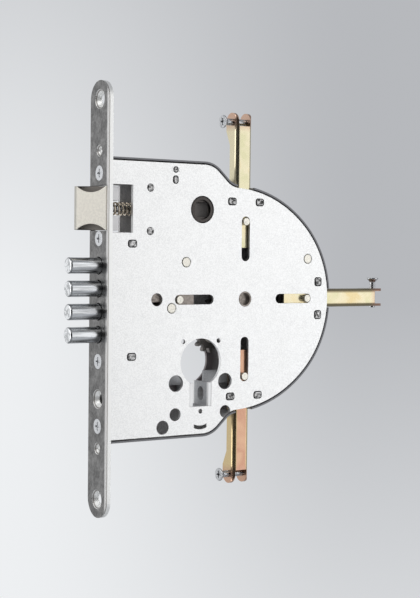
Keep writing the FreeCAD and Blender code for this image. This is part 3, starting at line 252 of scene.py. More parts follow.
def add_node(tree, kind, inputs=None, **settings):
    """Adds a node with its settings, and links or sets its sockets."""
    node = tree.nodes.new(kind)
    for name, value in settings.items():
        setattr(node, name, value)
    for socket, value in (inputs or {}).items():
        if isinstance(value, bpy.types.NodeSocket):
            tree.links.new(value, node.inputs[socket])
        else:
            node.inputs[socket].default_value = value
    return node


def metal(name, bright, dull, grain, stretch=(1, 1, 1), rough=(0.3, 0.45), bump=0.1, metallic=1.0, cloud=0.5):
    """A metal whose colour, roughness and height follow one grain, given by its size in metres."""
    material = bpy.data.materials.new(name)
    material.use_nodes = True
    tree = material.node_tree
    tree.nodes.clear()
    place = add_node(tree, "ShaderNodeTexCoord").outputs["Object"]
    scaled = add_node(tree, "ShaderNodeMapping", {"Vector": place, "Scale": stretch})
    fine = add_node(tree, "ShaderNodeTexNoise", {
        "Vector": scaled.outputs["Vector"], "Scale": 1 / grain, "Detail": 3.0, "Roughness": 0.6})
    broad = add_node(tree, "ShaderNodeTexNoise", {
        "Vector": scaled.outputs["Vector"], "Scale": 0.06 / grain, "Detail": 2.0})
    grains = add_node(tree, "ShaderNodeMapRange", {
        "Value": fine.outputs["Fac"], "From Min": 0.38, "From Max": 0.62}, interpolation_type="SMOOTHSTEP")
    clouds = add_node(tree, "ShaderNodeMapRange", {
        "Value": broad.outputs["Fac"], "From Min": 0.3, "From Max": 0.7, "To Min": 1 - cloud})
    both = add_node(tree, "ShaderNodeMath", {0: grains.outputs["Result"], 1: clouds.outputs["Result"]},
                    operation="MULTIPLY")
    tone = add_node(tree, "ShaderNodeMix", {
        "Factor": both.outputs["Value"], "A": (*bright, 1), "B": (*dull, 1)}, data_type="RGBA")
    roughness = add_node(tree, "ShaderNodeMapRange", {
        "Value": fine.outputs["Fac"], "From Min": 0.3, "From Max": 0.7,
        "To Min": rough[0], "To Max": rough[1]})
    height = add_node(tree, "ShaderNodeBump", {
        "Strength": bump, "Distance": 0.0002, "Height": fine.outputs["Fac"]})
    shader = add_node(tree, "ShaderNodeBsdfPrincipled", {
        "Base Color": tone.outputs["Result"], "Metallic": metallic,
        "Roughness": roughness.outputs["Result"], "Normal": height.outputs["Normal"]})
    add_node(tree, "ShaderNodeOutputMaterial", {"Surface": shader.outputs["BSDF"]})
    return material


def shader_of(material):
    return next(n for n in material.node_tree.nodes if n.type == "BSDF_PRINCIPLED")


def tone_of(material):
    return next(n for n in material.node_tree.nodes if n.type == "MIX").outputs["Result"]


def zinc_sheet(finish):
    # Bright zinc on rolled steel: pale, with a fine frosty speckle of 0.6 mm that scatters the light
    return metal("zinc_plated_sheet", finish.plate, finish.plate_dull, 0.6 * MM, rough=(0.4, 0.5), bump=0.12,
                 cloud=0.3)


def dull_zinc(name, bright, edge, sides):
    # The same plating on what lies inside: duller, half matt, and of another tone where the sheet ends, at the
    # cover's side or at both: painted shade in the gaps round the cover and round the peened ends; on the
    # guide, whose darker tone is painted shade, the cover's own tone
    material = metal("dull_zinc_" + name, bright, [c * 0.78 for c in bright], 0.8 * MM, rough=(0.4, 0.55),
                     bump=0.15, metallic=0.2)
    tree = material.node_tree
    place = add_node(tree, "ShaderNodeTexCoord").outputs["Object"]
    split = add_node(tree, "ShaderNodeSeparateXYZ", {"Vector": place})
    depth, way = split.outputs["Y"], -1
    if sides == 2:
        depth, way = add_node(tree, "ShaderNodeMath", {0: depth}, operation="ABSOLUTE").outputs["Value"], 1
    outer = add_node(tree, "ShaderNodeMapRange", {
        "Value": depth, "From Min": way * CUT_EDGE[0], "From Max": way * CUT_EDGE[1]})
    blend = add_node(tree, "ShaderNodeMix", {
        "Factor": outer.outputs["Result"], "A": tone_of(material), "B": (*edge, 1)}, data_type="RGBA")
    tree.links.new(blend.outputs["Result"], shader_of(material).inputs["Base Color"])
    return material


def paint_idler_shade(material, idler_shade):
    # Brown painted shade on the sheet round the idler gear, fading out 17 to 24 mm from the cylinder's axis
    tree = material.node_tree
    shader = shader_of(material)
    place = add_node(tree, "ShaderNodeTexCoord").outputs["Object"]
    flat = add_node(tree, "ShaderNodeVectorMath", {0: place, 1: (1, 0, 1)}, operation="MULTIPLY")
    away = add_node(tree, "ShaderNodeVectorMath", {0: flat.outputs["Vector"], 1: (CYLINDER_X, 0, CYLINDER_Z)},
                    operation="DISTANCE")
    near = add_node(tree, "ShaderNodeMapRange", {
        "Value": away.outputs["Value"], "From Min": IDLER_SHADE_RING[0], "From Max": IDLER_SHADE_RING[1],
        "To Max": 0.85})
    split = add_node(tree, "ShaderNodeSeparateXYZ", {"Vector": place})
    inside = add_node(tree, "ShaderNodeMapRange", {
        "Value": split.outputs["Y"], "From Min": INNER_WALL[0], "From Max": INNER_WALL[1]})
    amount = add_node(tree, "ShaderNodeMath", {0: near.outputs["Result"], 1: inside.outputs["Result"]},
                      operation="MULTIPLY")
    idler_shaded = add_node(tree, "ShaderNodeMix", {
        "Factor": amount.outputs["Value"], "A": shader.inputs["Base Color"].links[0].from_socket,
        "B": (*idler_shade, 1)}, data_type="RGBA")
    tree.links.new(idler_shaded.outputs["Result"], shader.inputs["Base Color"])


def peened_steel(finish):
    # Bare steel hammered over: grey, dented and half matt
    return metal("peened_steel", finish.stake, [c * 0.08 for c in finish.stake], 1.5 * MM, rough=(0.3, 0.5),
                 bump=0.9, cloud=0.1)


def satin_nickel(finish):
    # Nickel over brushed steel: a grain of 0.8 mm, drawn out along the strip, dims the face, which is worn
    # bright in patches and lightened towards one edge as painted highlight, and its sides stay bright and half
    # matt, their brightness in the sinks partly painted reflection, behind a painted shade line along the
    # rounded edge
    material = metal("satin_nickel", finish.forend, [c * 0.5 for c in finish.forend], 0.8 * MM,
                     stretch=(1, 1, 0.4), rough=(0.26, 0.44), bump=0.3, cloud=0.3)
    tree = material.node_tree
    place = add_node(tree, "ShaderNodeTexCoord").outputs["Object"]
    split = add_node(tree, "ShaderNodeSeparateXYZ", {"Vector": place})
    patches = add_node(tree, "ShaderNodeTexNoise", {
        "Vector": place, "Scale": 1 / (7 * MM), "Detail": 5.0, "Roughness": 0.65})
    worn = add_node(tree, "ShaderNodeMapRange", {
        "Value": patches.outputs["Fac"], "From Min": 0.42, "From Max": 0.66, "To Max": 0.22})
    # Painted highlight: the face lightened towards its edge on the cover's side
    lit_edge = add_node(tree, "ShaderNodeMapRange", {
        "Value": split.outputs["Y"], "From Min": LIT_FACE_EDGE[0], "From Max": LIT_FACE_EDGE[1],
        "To Max": 1.0})
    wear_and_highlight = add_node(tree, "ShaderNodeMath", {0: worn.outputs["Result"], 1: lit_edge.outputs["Result"]},
                    operation="ADD")
    worn_and_lit_tone = [min(1, c * 3.6) for c in finish.forend]
    face = add_node(tree, "ShaderNodeMix", {
        "Factor": wear_and_highlight.outputs["Value"], "A": tone_of(material), "B": (*worn_and_lit_tone, 1)}, data_type="RGBA")
    # The sides and sinks: bright, in the sinks partly as painted reflection
    side = add_node(tree, "ShaderNodeMapRange", {
        "Value": split.outputs["X"], "From Min": FOREND_SIDES[0], "From Max": FOREND_SIDES[1]})
    # Painted shade: a dark line on the sides, along the rounded edge
    from_line = add_node(tree, "ShaderNodeMath", {0: split.outputs["X"], 1: SHADE_LINE_X}, operation="SUBTRACT")
    off_line = add_node(tree, "ShaderNodeMath", {0: from_line.outputs["Value"]}, operation="ABSOLUTE")
    past = add_node(tree, "ShaderNodeMapRange", {
        "Value": off_line.outputs["Value"], "From Min": SHADE_LINE_HALF[0], "From Max": SHADE_LINE_HALF[1]})
    flank = add_node(tree, "ShaderNodeMix", {
        "Factor": past.outputs["Result"], "A": (*finish.forend_line_shade, 1), "B": (*finish.forend_side_and_sheen, 1)},
        data_type="RGBA")
    blend = add_node(tree, "ShaderNodeMix", {
        "Factor": side.outputs["Result"], "A": face.outputs["Result"], "B": flank.outputs["Result"]},
        data_type="RGBA")
    shader = shader_of(material)
    matt = add_node(tree, "ShaderNodeMix", {
        "Factor": side.outputs["Result"], "A": shader.inputs["Roughness"].links[0].from_socket, "B": 0.48})
    tree.links.new(matt.outputs["Result"], shader.inputs["Roughness"])
    tree.links.new(blend.outputs["Result"], shader.inputs["Base Color"])
    return material


def drawn_steel(finish):
    # Drawn and plated: lengthwise streaks, about 1 mm apart, on a soft mirror, a painted shade ring at the edge
    # and a mottled end, made brighter in part as painted highlight
    material = metal("drawn_plated_steel", finish.bolt, [c * 0.5 for c in finish.bolt], 1.1 * MM,
                     stretch=(0.06, 1, 1), rough=(0.16, 0.26), bump=0.1)
    tree = material.node_tree
    place = add_node(tree, "ShaderNodeTexCoord").outputs["Object"]
    split = add_node(tree, "ShaderNodeSeparateXYZ", {"Vector": place})
    end = add_node(tree, "ShaderNodeMapRange", {
        "Value": split.outputs["X"], "From Min": BOLT_FACE[0], "From Max": BOLT_FACE[1]})
    # Painted shade: a dark ring just behind the end's face
    edge = add_node(tree, "ShaderNodeMapRange", {
        "Value": split.outputs["X"], "From Min": BOLT_SHADE_RING[0], "From Max": BOLT_SHADE_RING[1],
        "To Max": 0.75})
    spots = add_node(tree, "ShaderNodeTexNoise", {"Vector": place, "Scale": 1 / (1.6 * MM), "Detail": 2.0})
    worn = add_node(tree, "ShaderNodeMapRange", {
        "Value": spots.outputs["Fac"], "From Min": 0.4, "From Max": 0.56, "To Min": 0.3})
    amount = add_node(tree, "ShaderNodeMath", {0: end.outputs["Result"], 1: worn.outputs["Result"]},
                      operation="MULTIPLY")
    rim = add_node(tree, "ShaderNodeMix", {
        "Factor": edge.outputs["Result"], "A": tone_of(material), "B": (*[c * 0.35 for c in finish.bolt], 1)},
        data_type="RGBA")
    # The end's bright tone is partly painted highlight
    blend = add_node(tree, "ShaderNodeMix", {
        "Factor": amount.outputs["Value"], "A": rim.outputs["Result"], "B": (*finish.bolt_end_and_highlight, 1)},
        data_type="RGBA")
    tree.links.new(blend.outputs["Result"], shader_of(material).inputs["Base Color"])
    return material


def riveted_zinc(finish):
    # Zinc on a hammered pin: creamy, rough and pitted
    return metal("riveted_zinc", finish.rivet, [c * 0.75 for c in finish.rivet], 0.5 * MM, rough=(0.36, 0.5),
                 bump=0.25)


def bright_screw(finish):
    # Bright zinc on small turned pieces: glossy, a little uneven
    return metal("bright_zinc_screw", finish.screw, [c * 0.8 for c in finish.screw], 0.5 * MM,
                 rough=(0.18, 0.32), bump=0.1)


def dark_screw(finish):
    # Clear-passivated zinc on the clamp screws: a darker, glossy grey
    return metal("clear_passivated_screw", [c * 0.95 for c in finish.screw], [c * 0.4 for c in finish.screw],
                 0.7 * MM, rough=(0.12, 0.24), bump=0.12)


def pressed_steel(finish):
    # Pressed steel with a thin film of oil: brownish grey and semi-gloss
    return metal("oiled_pressed_steel", finish.gear, [c * 0.7 for c in finish.gear], 0.7 * MM,
                 rough=(0.28, 0.45), bump=0.12, metallic=0.6)


def cast_zinc(finish):
    # Die-cast zinc left bare: mid grey, slightly grainy
    return metal("die_cast_zinc", finish.follower, [c * 0.75 for c in finish.follower], 0.5 * MM,
                 rough=(0.35, 0.5), bump=0.2)


def spring_wire(finish):
    # Patented spring wire, oiled: brown with sharp highlights
    return metal("oiled_spring_wire", finish.spring, [c * 0.7 for c in finish.spring], 0.4 * MM,
                 rough=(0.1, 0.2), bump=0.05)


def oiled_steel(finish):
    # The carriage's steel under an oil film: dark brown-grey and half matt
    return metal("oiled_dark_steel", finish.carriage, [c * 0.55 for c in finish.carriage], 1.4 * MM,
                 rough=(0.3, 0.45), bump=0.2, metallic=0.8, cloud=0.8)


def passivated_zinc(name, first, second, third, flank, ear, oil):
    # Yellow chromate on zinc: clouds of its rainbow tints, about 14 mm across, on a bright ground, another tint
    # on the flanks and the ears, a painted dark reflection on the back rod's bends, and painted shade, an oily
    # brown, where the rods run inside the case
    material = metal("yellow_passivated_" + name, second, first, 0.5 * MM, rough=(0.16, 0.26), bump=0.08)
    tree = material.node_tree
    place = add_node(tree, "ShaderNodeTexCoord").outputs["Object"]
    clouds = add_node(tree, "ShaderNodeTexNoise", {
        "Vector": place, "Scale": 1 / (14 * MM), "Detail": 2.0, "Roughness": 0.5, "Distortion": 0.6})
    bands = add_node(tree, "ShaderNodeValToRGB", {"Fac": clouds.outputs["Fac"]})
    ramp = bands.color_ramp
    ramp.elements[0].position = 0.36
    ramp.elements[0].color = (*first, 1)
    ramp.elements[1].position = 0.64
    ramp.elements[1].color = (*third, 1)
    middle = ramp.elements.new(0.5)
    middle.color = (*second, 1)
    blend = add_node(tree, "ShaderNodeMix", {
        "Factor": 0.75, "A": tone_of(material), "B": bands.outputs["Color"]}, data_type="RGBA")
    split = add_node(tree, "ShaderNodeSeparateXYZ", {"Vector": place})
    across, centre = ("Z", 0.0) if name == "back" else ("X", GEAR_X)
    offset = add_node(tree, "ShaderNodeMath", {0: split.outputs[across], 1: centre}, operation="SUBTRACT")
    aside = add_node(tree, "ShaderNodeMath", {0: offset.outputs["Value"]}, operation="ABSOLUTE")
    at_flank = add_node(tree, "ShaderNodeMapRange", {
        "Value": aside.outputs["Value"], "From Min": ROD_FLANKS[0], "From Max": ROD_FLANKS[1],
        "To Max": 0.85})
    sides = add_node(tree, "ShaderNodeMix", {
        "Factor": at_flank.outputs["Result"], "A": blend.outputs["Result"], "B": (*flank, 1)},
        data_type="RGBA")
    from_gear = add_node(tree, "ShaderNodeVectorMath", {0: place, 1: (GEAR_X, 0, 0)}, operation="DISTANCE")
    at_ear = add_node(tree, "ShaderNodeMapRange", {
        "Value": from_gear.outputs["Value"], "From Min": ROD_EARS[0], "From Max": ROD_EARS[1],
        "To Max": 0.75})
    ends = add_node(tree, "ShaderNodeMix", {
        "Factor": at_ear.outputs["Result"], "A": sides.outputs["Result"], "B": (*ear, 1)}, data_type="RGBA")
    # Painted shade where the rods run inside the case, under the plates
    within = add_node(tree, "ShaderNodeMapRange", {
        "Value": from_gear.outputs["Value"], "From Min": ROD_SHADED_STRETCH[0], "From Max": ROD_SHADED_STRETCH[1]})
    deep = add_node(tree, "ShaderNodeMapRange", {
        "Value": split.outputs["Y"], "From Min": ROD_INSIDE[0], "From Max": ROD_INSIDE[1]})
    oiled = add_node(tree, "ShaderNodeMath", {0: within.outputs["Result"], 1: deep.outputs["Result"]},
                     operation="MULTIPLY")
    inside = add_node(tree, "ShaderNodeMix", {
        "Factor": oiled.outputs["Value"], "A": ends.outputs["Result"], "B": (*oil, 1)}, data_type="RGBA")
    tree.links.new(inside.outputs["Result"], shader_of(material).inputs["Base Color"])
    return material


def plated_casting(finish):
    # Nickel on die-cast zinc: creamy and satin on the ramp, greyed at the tip as painted shade on its rounding,
    # darker grey in the hollows behind it, and the case's dull zinc on the body inside
    material = metal("nickel_plated_casting", finish.latch, [c * 0.88 for c in finish.latch], 1.2 * MM,
                     rough=(0.38, 0.5), bump=0.08, metallic=0.25)
    tree = material.node_tree
    ramp = RAMP_TIP - RAMP_NEAR
    inward = Vector((ramp.y, -ramp.x, 0.0)).normalized()
    place = add_node(tree, "ShaderNodeTexCoord").outputs["Object"]
    from_ramp = add_node(tree, "ShaderNodeVectorMath", {0: place, 1: RAMP_NEAR}, operation="SUBTRACT")
    depth = add_node(tree, "ShaderNodeVectorMath", {0: from_ramp.outputs["Vector"], 1: inward},
                     operation="DOT_PRODUCT")
    split = add_node(tree, "ShaderNodeSeparateXYZ", {"Vector": place})
    hollow = add_node(tree, "ShaderNodeMapRange", {
        "Value": depth.outputs["Value"], "From Min": LATCH_HOLLOWS[0], "From Max": LATCH_HOLLOWS[1]})
    outside = add_node(tree, "ShaderNodeMapRange", {
        "Value": split.outputs["X"], "From Min": LATCH_HEAD[0], "From Max": LATCH_HEAD[1]})
    in_hollows = add_node(tree, "ShaderNodeMath", {0: hollow.outputs["Result"], 1: outside.outputs["Result"]},
                   operation="MULTIPLY")
    blend = add_node(tree, "ShaderNodeMix", {
        "Factor": in_hollows.outputs["Value"], "A": tone_of(material), "B": (*finish.latch_hollow_grey, 1)},
        data_type="RGBA")
    behind = add_node(tree, "ShaderNodeMapRange", {
        "Value": split.outputs["X"], "From Min": LATCH_BODY[0], "From Max": LATCH_BODY[1]})
    body = add_node(tree, "ShaderNodeMix", {
        "Factor": behind.outputs["Result"], "A": blend.outputs["Result"], "B": (*finish.tray, 1)},
        data_type="RGBA")
    # Painted shade on the latch's rounded tip
    blunt = add_node(tree, "ShaderNodeMapRange", {
        "Value": split.outputs["X"], "From Min": LATCH_TIP_SHADE[0], "From Max": LATCH_TIP_SHADE[1]})
    worn = add_node(tree, "ShaderNodeMix", {
        "Factor": blunt.outputs["Result"], "A": body.outputs["Result"], "B": (*finish.latch_tip_shade, 1)},
        data_type="RGBA")
    tree.links.new(worn.outputs["Result"], shader_of(material).inputs["Base Color"])
    return material


def dress(node, material, edge):
    """Gives a CAD node its material and rounds its edges for the light, without changing its mesh."""
    obj = NODES[node]
    obj.data.materials.clear()
    obj.data.materials.append(material)
    weld = obj.modifiers.new("Joined corners", "WELD")
    weld.merge_threshold = JOIN_WITHIN
    flat = obj.modifiers.new("Flat faces", "DECIMATE")
    flat.decimate_type = "DISSOLVE"
    flat.angle_limit = FLAT_ANGLE
    bevel = obj.modifiers.new("Rounded edges", "BEVEL")
    bevel.width = edge
    bevel.segments = 2
    bevel.limit_method = "ANGLE"
    bevel.angle_limit = SHARP_ANGLE
    bevel.use_clamp_overlap = True
    smooth = obj.modifiers.new("Face normals", "WEIGHTED_NORMAL")
    smooth.keep_sharp = False
    return obj


def pick(pieces):
    """Selects just these pieces, the first of them active."""
    bpy.ops.object.select_all(action="DESELECT")
    for piece in pieces:
        piece.select_set(True)
    if pieces:
        bpy.context.view_layer.objects.active = pieces[0]


def copy_piece(piece):
    """Copies a piece, the copy with its own mesh."""
    pick([piece])
    bpy.ops.object.duplicate()
    return bpy.context.object


def finish_piece(name, body, material, replaced, smooth=True):
    """Names the active object, puts its place in its mesh and rides it on a body."""
    piece = bpy.context.object
    piece.name = name
    piece.data.name = name
    bpy.ops.object.transform_apply(location=True, rotation=True, scale=True)
    if smooth:
        bpy.ops.object.shade_smooth_by_angle(angle=SHARP_ANGLE)
    piece.data.materials.clear()
    piece.data.materials.append(material)
    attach(piece, body)
    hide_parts(*replaced)
    return piece


def wind(place, sides, wire, coil, run, turns):
    """Winds a ring of a given number of sides along X from a place, round a coil."""
    pick([])
    bpy.ops.mesh.primitive_circle_add(vertices=sides, radius=wire, location=place)
    piece = bpy.context.object
    bpy.ops.object.mode_set(mode="EDIT")
    bpy.ops.mesh.select_all(action="SELECT")
    bpy.ops.transform.translate(value=(0, coil, 0))
    bpy.ops.object.mode_set(mode="OBJECT")
    bpy.ops.object.modifier_add(type="SCREW")
    screw = piece.modifiers[-1]
    screw.axis = "X"
    screw.angle = 2 * math.pi * turns
    screw.screw_offset = run
    screw.steps = screw.render_steps = int(turns * STEPS_PER_TURN)
    bpy.ops.object.modifier_apply(modifier=screw.name)
    return piece


class LOCK_OT_case(bpy.types.Operator):
    """Dresses the cover plate, the tray behind it and the pieces staked between them"""
    bl_idname = "lock.case"
    bl_label = "Case"

    def execute(self, context):
        finish = context.scene.lock_finish
        sizes = context.scene.lock_sizes
        dress("front_plate", zinc_sheet(finish), sizes.sheet_edge)
        # The rim's edge at the cover takes painted shade, the dark of the gap round the cover
        tray = dull_zinc("tray", finish.tray, finish.tray_edge_shade, sides=1)
        # The tray takes painted shade round the idler gear
        paint_idler_shade(tray, finish.idler_shade)
        dress("case_body", tray, sizes.sheet_edge)
        # The guide's darker tone is painted shade; its ends at the cover keep the cover's tone
        dress("cylinder_guide", dull_zinc("guide", finish.guide, finish.plate, sides=2), sizes.sheet_edge)
        # The tabs' ends take painted shade, the dark of the groove round the peened ends
        staked = dull_zinc("stakes", finish.tray, finish.stake_groove_shade, sides=2)
        for node in ("upper_inner_lug", "lower_inner_lug", "upper_outer_lug", "lower_outer_lug", "spacer_bar",
                     "latch_guide", "top_rod_guide", "back_rod_guide", "bottom_rod_guide"):
            dress(node, staked, sizes.sheet_edge)
        riveted = riveted_zinc(finish)
        for node in ("spacer_posts", "idler_stud"):
            dress(node, riveted, sizes.fine_edge)
        return {"FINISHED"}


class LOCK_OT_stakes(bpy.types.Operator):
    """Peens the ends of the tabs that hold the two plates together"""
    bl_idname = "lock.stakes"
    bl_label = "Staked ends"

    def execute(self, context):
        sizes = context.scene.lock_sizes
        faces = ((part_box("front_plate")[0].y, -1), (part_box("case_body")[1].y, 1))
        gap = 2 * sizes.stake_gap
        models = {}
        ends = []
        for x, z, width, height in STAKES:
            for face, outward in faces:
                place = Vector((x, face, z))
                kind = (width, height, outward)
                if kind in models:
                    model, model_place = models[kind]
                    end = copy_piece(model)
                    end.location = place - model_place
                else:
                    end = self.peened_end(sizes, place, width - gap, height - gap, outward)
                    models[kind] = (end, place)
                ends.append(end)
        pick(ends)
        bpy.ops.object.join()
        finish_piece("staked_ends", "case", peened_steel(context.scene.lock_finish), [])
        return {"FINISHED"}

    def peened_end(self, sizes, place, width, height, outward):
        # A block with rounded corners, its rim turned over and its middle pressed in by the punch
        pick([])
        bpy.ops.mesh.primitive_cube_add(size=1.0, location=place)
        end = bpy.context.object
        end.scale = (width, 2 * sizes.stake_depth, height)
        bpy.ops.object.transform_apply(location=True, rotation=True, scale=True)
        bpy.ops.object.mode_set(mode="EDIT")
        bpy.ops.mesh.select_mode(type="EDGE")
        self.select(end, lambda edge, verts: abs(verts[0].y - verts[1].y) > sizes.stake_depth, "edges")
        bpy.ops.mesh.bevel(offset=sizes.stake_round, segments=4, affect="EDGES")
        bpy.ops.mesh.select_mode(type="FACE")
        self.select(end, lambda face, verts: face.normal.y * outward > 0.9, "polygons")
        bpy.ops.mesh.inset(thickness=sizes.stake_depth, depth=0)
        bpy.ops.transform.translate(value=(0, outward * PEEN_RISE * sizes.stake_depth, 0))
        bpy.ops.mesh.inset(thickness=PEEN_RIM * sizes.stake_depth, depth=0)
        bpy.ops.mesh.inset(thickness=PEEN_SLOPE * sizes.stake_depth, depth=0)
        bpy.ops.transform.translate(value=(0, -outward * PEEN_DISH * sizes.stake_depth, 0))
        bpy.ops.object.mode_set(mode="OBJECT")
        return end

    def select(self, end, wanted, kind):
        # Selects the edges or faces that a test names, by their place or normal
        bpy.ops.mesh.select_all(action="DESELECT")
        bpy.ops.object.mode_set(mode="OBJECT")
        mesh = end.data
        for part in getattr(mesh, kind):
            part.select = wanted(part, [mesh.vertices[i].co for i in part.vertices])
        bpy.ops.object.mode_set(mode="EDIT")


class LOCK_OT_forend(bpy.types.Operator):
    """Dresses the forend and its four screws"""
    bl_idname = "lock.forend"
    bl_label = "Forend"

    def execute(self, context):
        finish = context.scene.lock_finish
        sizes = context.scene.lock_sizes
        dress("forend", satin_nickel(finish), sizes.forend_edge)
        dress("forend_screws", bright_screw(finish), sizes.fine_edge)
        return {"FINISHED"}


class LOCK_OT_bolts(bpy.types.Operator):
    """Dresses the four bolts and the carriage that joins them"""
    bl_idname = "lock.bolts"
    bl_label = "Bolts"

    def execute(self, context):
        finish = context.scene.lock_finish
        sizes = context.scene.lock_sizes
        drawn = drawn_steel(finish)
        for node in BOLTS:
            dress(node, drawn, sizes.fine_edge)
        oiled = oiled_steel(finish)
        for node in ("bolt_carriage", "carriage_rack", "carriage_rivets"):
            dress(node, oiled, sizes.fine_edge)
        dress("carriage_pin", riveted_zinc(finish), sizes.fine_edge)
        return {"FINISHED"}


class LOCK_OT_rods(bpy.types.Operator):
    """Dresses the three rods, their racks, pins, rivets and clamp screws"""
    bl_idname = "lock.rods"
    bl_label = "Rods"

    def execute(self, context):
        finish = context.scene.lock_finish
        sizes = context.scene.lock_sizes
        tints = {
            "top": (finish.rod_green, finish.rod_cream, finish.rod_gold, finish.rod_cream),
            # The back rod's last tint, on its bends, is painted dark reflection
            "back": (finish.rod_gold, finish.rod_cream, finish.rod_green, finish.rod_bend_shade),
            "bottom": (finish.rod_peach, finish.rod_pink, finish.rod_peach, finish.rod_gold),
        }
        pressed = pressed_steel(finish)
        riveted = riveted_zinc(finish)
        clear = dark_screw(finish)
        for name in RODS:
            tinted = passivated_zinc(name, *tints[name], finish.rod_ear, finish.rod_inside_shade)
            dress(name + "_rod", tinted, sizes.sheet_edge)
            dress(name + "_rod_rack", pressed, sizes.fine_edge)
            dress(name + "_rack_rivet", riveted, sizes.fine_edge)
            dress(name + "_rod_pin", riveted, sizes.fine_edge)
            dress(name + "_clamp_screw", clear, sizes.fine_edge)
        return {"FINISHED"}


class LOCK_OT_gears(bpy.types.Operator):
    """Dresses the rack pinion, the wheel, the arbor and the idler gear"""
    bl_idname = "lock.gears"
    bl_label = "Gears"

    def execute(self, context):
        finish = context.scene.lock_finish
        sizes = context.scene.lock_sizes
        pressed = pressed_steel(finish)
        for node in ("rack_pinion", "drive_wheel", "idler_gear"):
            dress(node, pressed, sizes.fine_edge)
        dress("drive_arbor", oiled_steel(finish), sizes.fine_edge)
        return {"FINISHED"}


class LOCK_OT_latch(bpy.types.Operator):
    """Dresses the latch, its rod and tail, and the follower"""
    bl_idname = "lock.latch"
    bl_label = "Latch and follower"

    def execute(self, context):
        finish = context.scene.lock_finish
        sizes = context.scene.lock_sizes
        dress("latch_bolt", plated_casting(finish), sizes.cast_edge)
        dress("follower", cast_zinc(finish), sizes.cast_edge)
        dress("latch_tail", pressed_steel(finish), sizes.fine_edge)
        bright = bright_screw(finish)
        for node in ("latch_rod", "latch_nut"):
            dress(node, bright, sizes.fine_edge)
        return {"FINISHED"}


class LOCK_OT_spring(bpy.types.Operator):
    """Winds the latch spring from a ring of wire, with a straight end at each seat"""
    bl_idname = "lock.spring"
    bl_label = "Latch spring"

    def execute(self, context):
        sizes = context.scene.lock_sizes
        low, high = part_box("latch_spring")
        wire = sizes.wire_radius
        bend = SPRING_BEND * wire
        middle = (low.z + high.z) / 2
        first = low.x + 2 * wire + bend
        last = high.x - 2 * wire - bend
        start = Vector((first, 0, middle))
        spring = wind(start, WIRE_SIDES, wire, sizes.coil_radius, last - first, SPRING_TURNS)
        rings = spring.data.vertices[:WIRE_SIDES], spring.data.vertices[-WIRE_SIDES:]
        places = [[v.co.copy() for v in ring] for ring in rings]
        for ring, outward, seat in ((places[0], -1, low.x), (places[1], 1, high.x)):
            self.straighten(spring, ring, outward, bend, seat)
        bpy.ops.object.mode_set(mode="EDIT")
        bpy.ops.mesh.select_all(action="SELECT")
        bpy.ops.mesh.normals_make_consistent(inside=False)
        bpy.ops.object.mode_set(mode="OBJECT")
        oiled = spring_wire(context.scene.lock_finish)
        piece = finish_piece("latch_spring_coil", "case", oiled, ["latch_spring"])
        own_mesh(piece)
        return {"FINISHED"}

    def straighten(self, spring, ring, outward, bend, seat):
        # Bends an end ring square to the axis and draws it out straight to its seat
        bpy.ops.object.mode_set(mode="EDIT")
        bpy.ops.mesh.select_mode(type="VERT")
        bpy.ops.mesh.select_all(action="DESELECT")
        bpy.ops.object.mode_set(mode="OBJECT")
        near = 0.01 * MM
        for vertex in spring.data.vertices:
            vertex.select = any((vertex.co - place).length < near for place in ring)
        centre = spring.matrix_world @ (sum(ring, Vector()) / len(ring))
        pivot = centre + Vector((outward * bend, 0, 0))
        bpy.ops.object.mode_set(mode="EDIT")
        for _ in range(BEND_STEPS):
            bpy.ops.mesh.extrude_region()
            bpy.ops.transform.rotate(value=math.pi / 2 / BEND_STEPS, orient_axis="Y", center_override=pivot)
        bpy.ops.mesh.extrude_region()
        bpy.ops.transform.translate(value=(seat - pivot.x, 0, 0))
        bpy.ops.mesh.edge_face_add()
        bpy.ops.object.mode_set(mode="OBJECT")


class LOCK_OT_threads(bpy.types.Operator):
    """Cuts the thread that shows on the clamp screws, under the head and between the ears"""
    bl_idname = "lock.threads"
    bl_label = "Clamp screws' threads"

    def execute(self, context):
        clear = dark_screw(context.scene.lock_finish)
        thread = self.cut_thread(context.scene.lock_sizes.thread_pitch)
        pieces = [thread] + [copy_piece(thread) for _ in RODS[1:]]
        for name, piece in zip(RODS, pieces):
            low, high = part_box(name + "_clamp_screw")
            middle = (low + high) / 2
            upright = high.z - low.z > high.x - low.x
            piece.location = (middle.x, middle.y, 0) if upright else (GEAR_X, middle.y, middle.z)
            piece.rotation_euler.y = math.pi / 2 if upright else 0
            pick([piece])
            finish_piece(name + "_clamp_thread", name + "_rod_group", clear, [], smooth=False)
        return {"FINISHED"}

    def cut_thread(self, pitch):
        # One thread along X, in two stretches on either side of the near ear, the rod's middle at the origin
        stretches = []
        for start, end in ((-ROD_HALF - BACKED_OUT, -ROD_HALF),
                           (-ROD_HALF + ROD_SHEET, ROD_HALF - ROD_SHEET)):
            run = end - start
            stretches.append(wind(Vector((start, 0, 0)), THREAD_SIDES, THREAD_DEPTH * pitch, SCREW_R, run,
                                  run / pitch))
        pick(stretches)
        bpy.ops.object.join()
        bpy.ops.object.transform_apply(location=True)
        bpy.ops.object.mode_set(mode="EDIT")
        bpy.ops.mesh.select_all(action="DESELECT")
        bpy.ops.mesh.select_mode(type="EDGE")
        bpy.ops.mesh.select_non_manifold()
        bpy.ops.mesh.fill()
        bpy.ops.mesh.select_all(action="SELECT")
        bpy.ops.mesh.normals_make_consistent(inside=False)
        bpy.ops.object.mode_set(mode="OBJECT")
        return stretches[0]


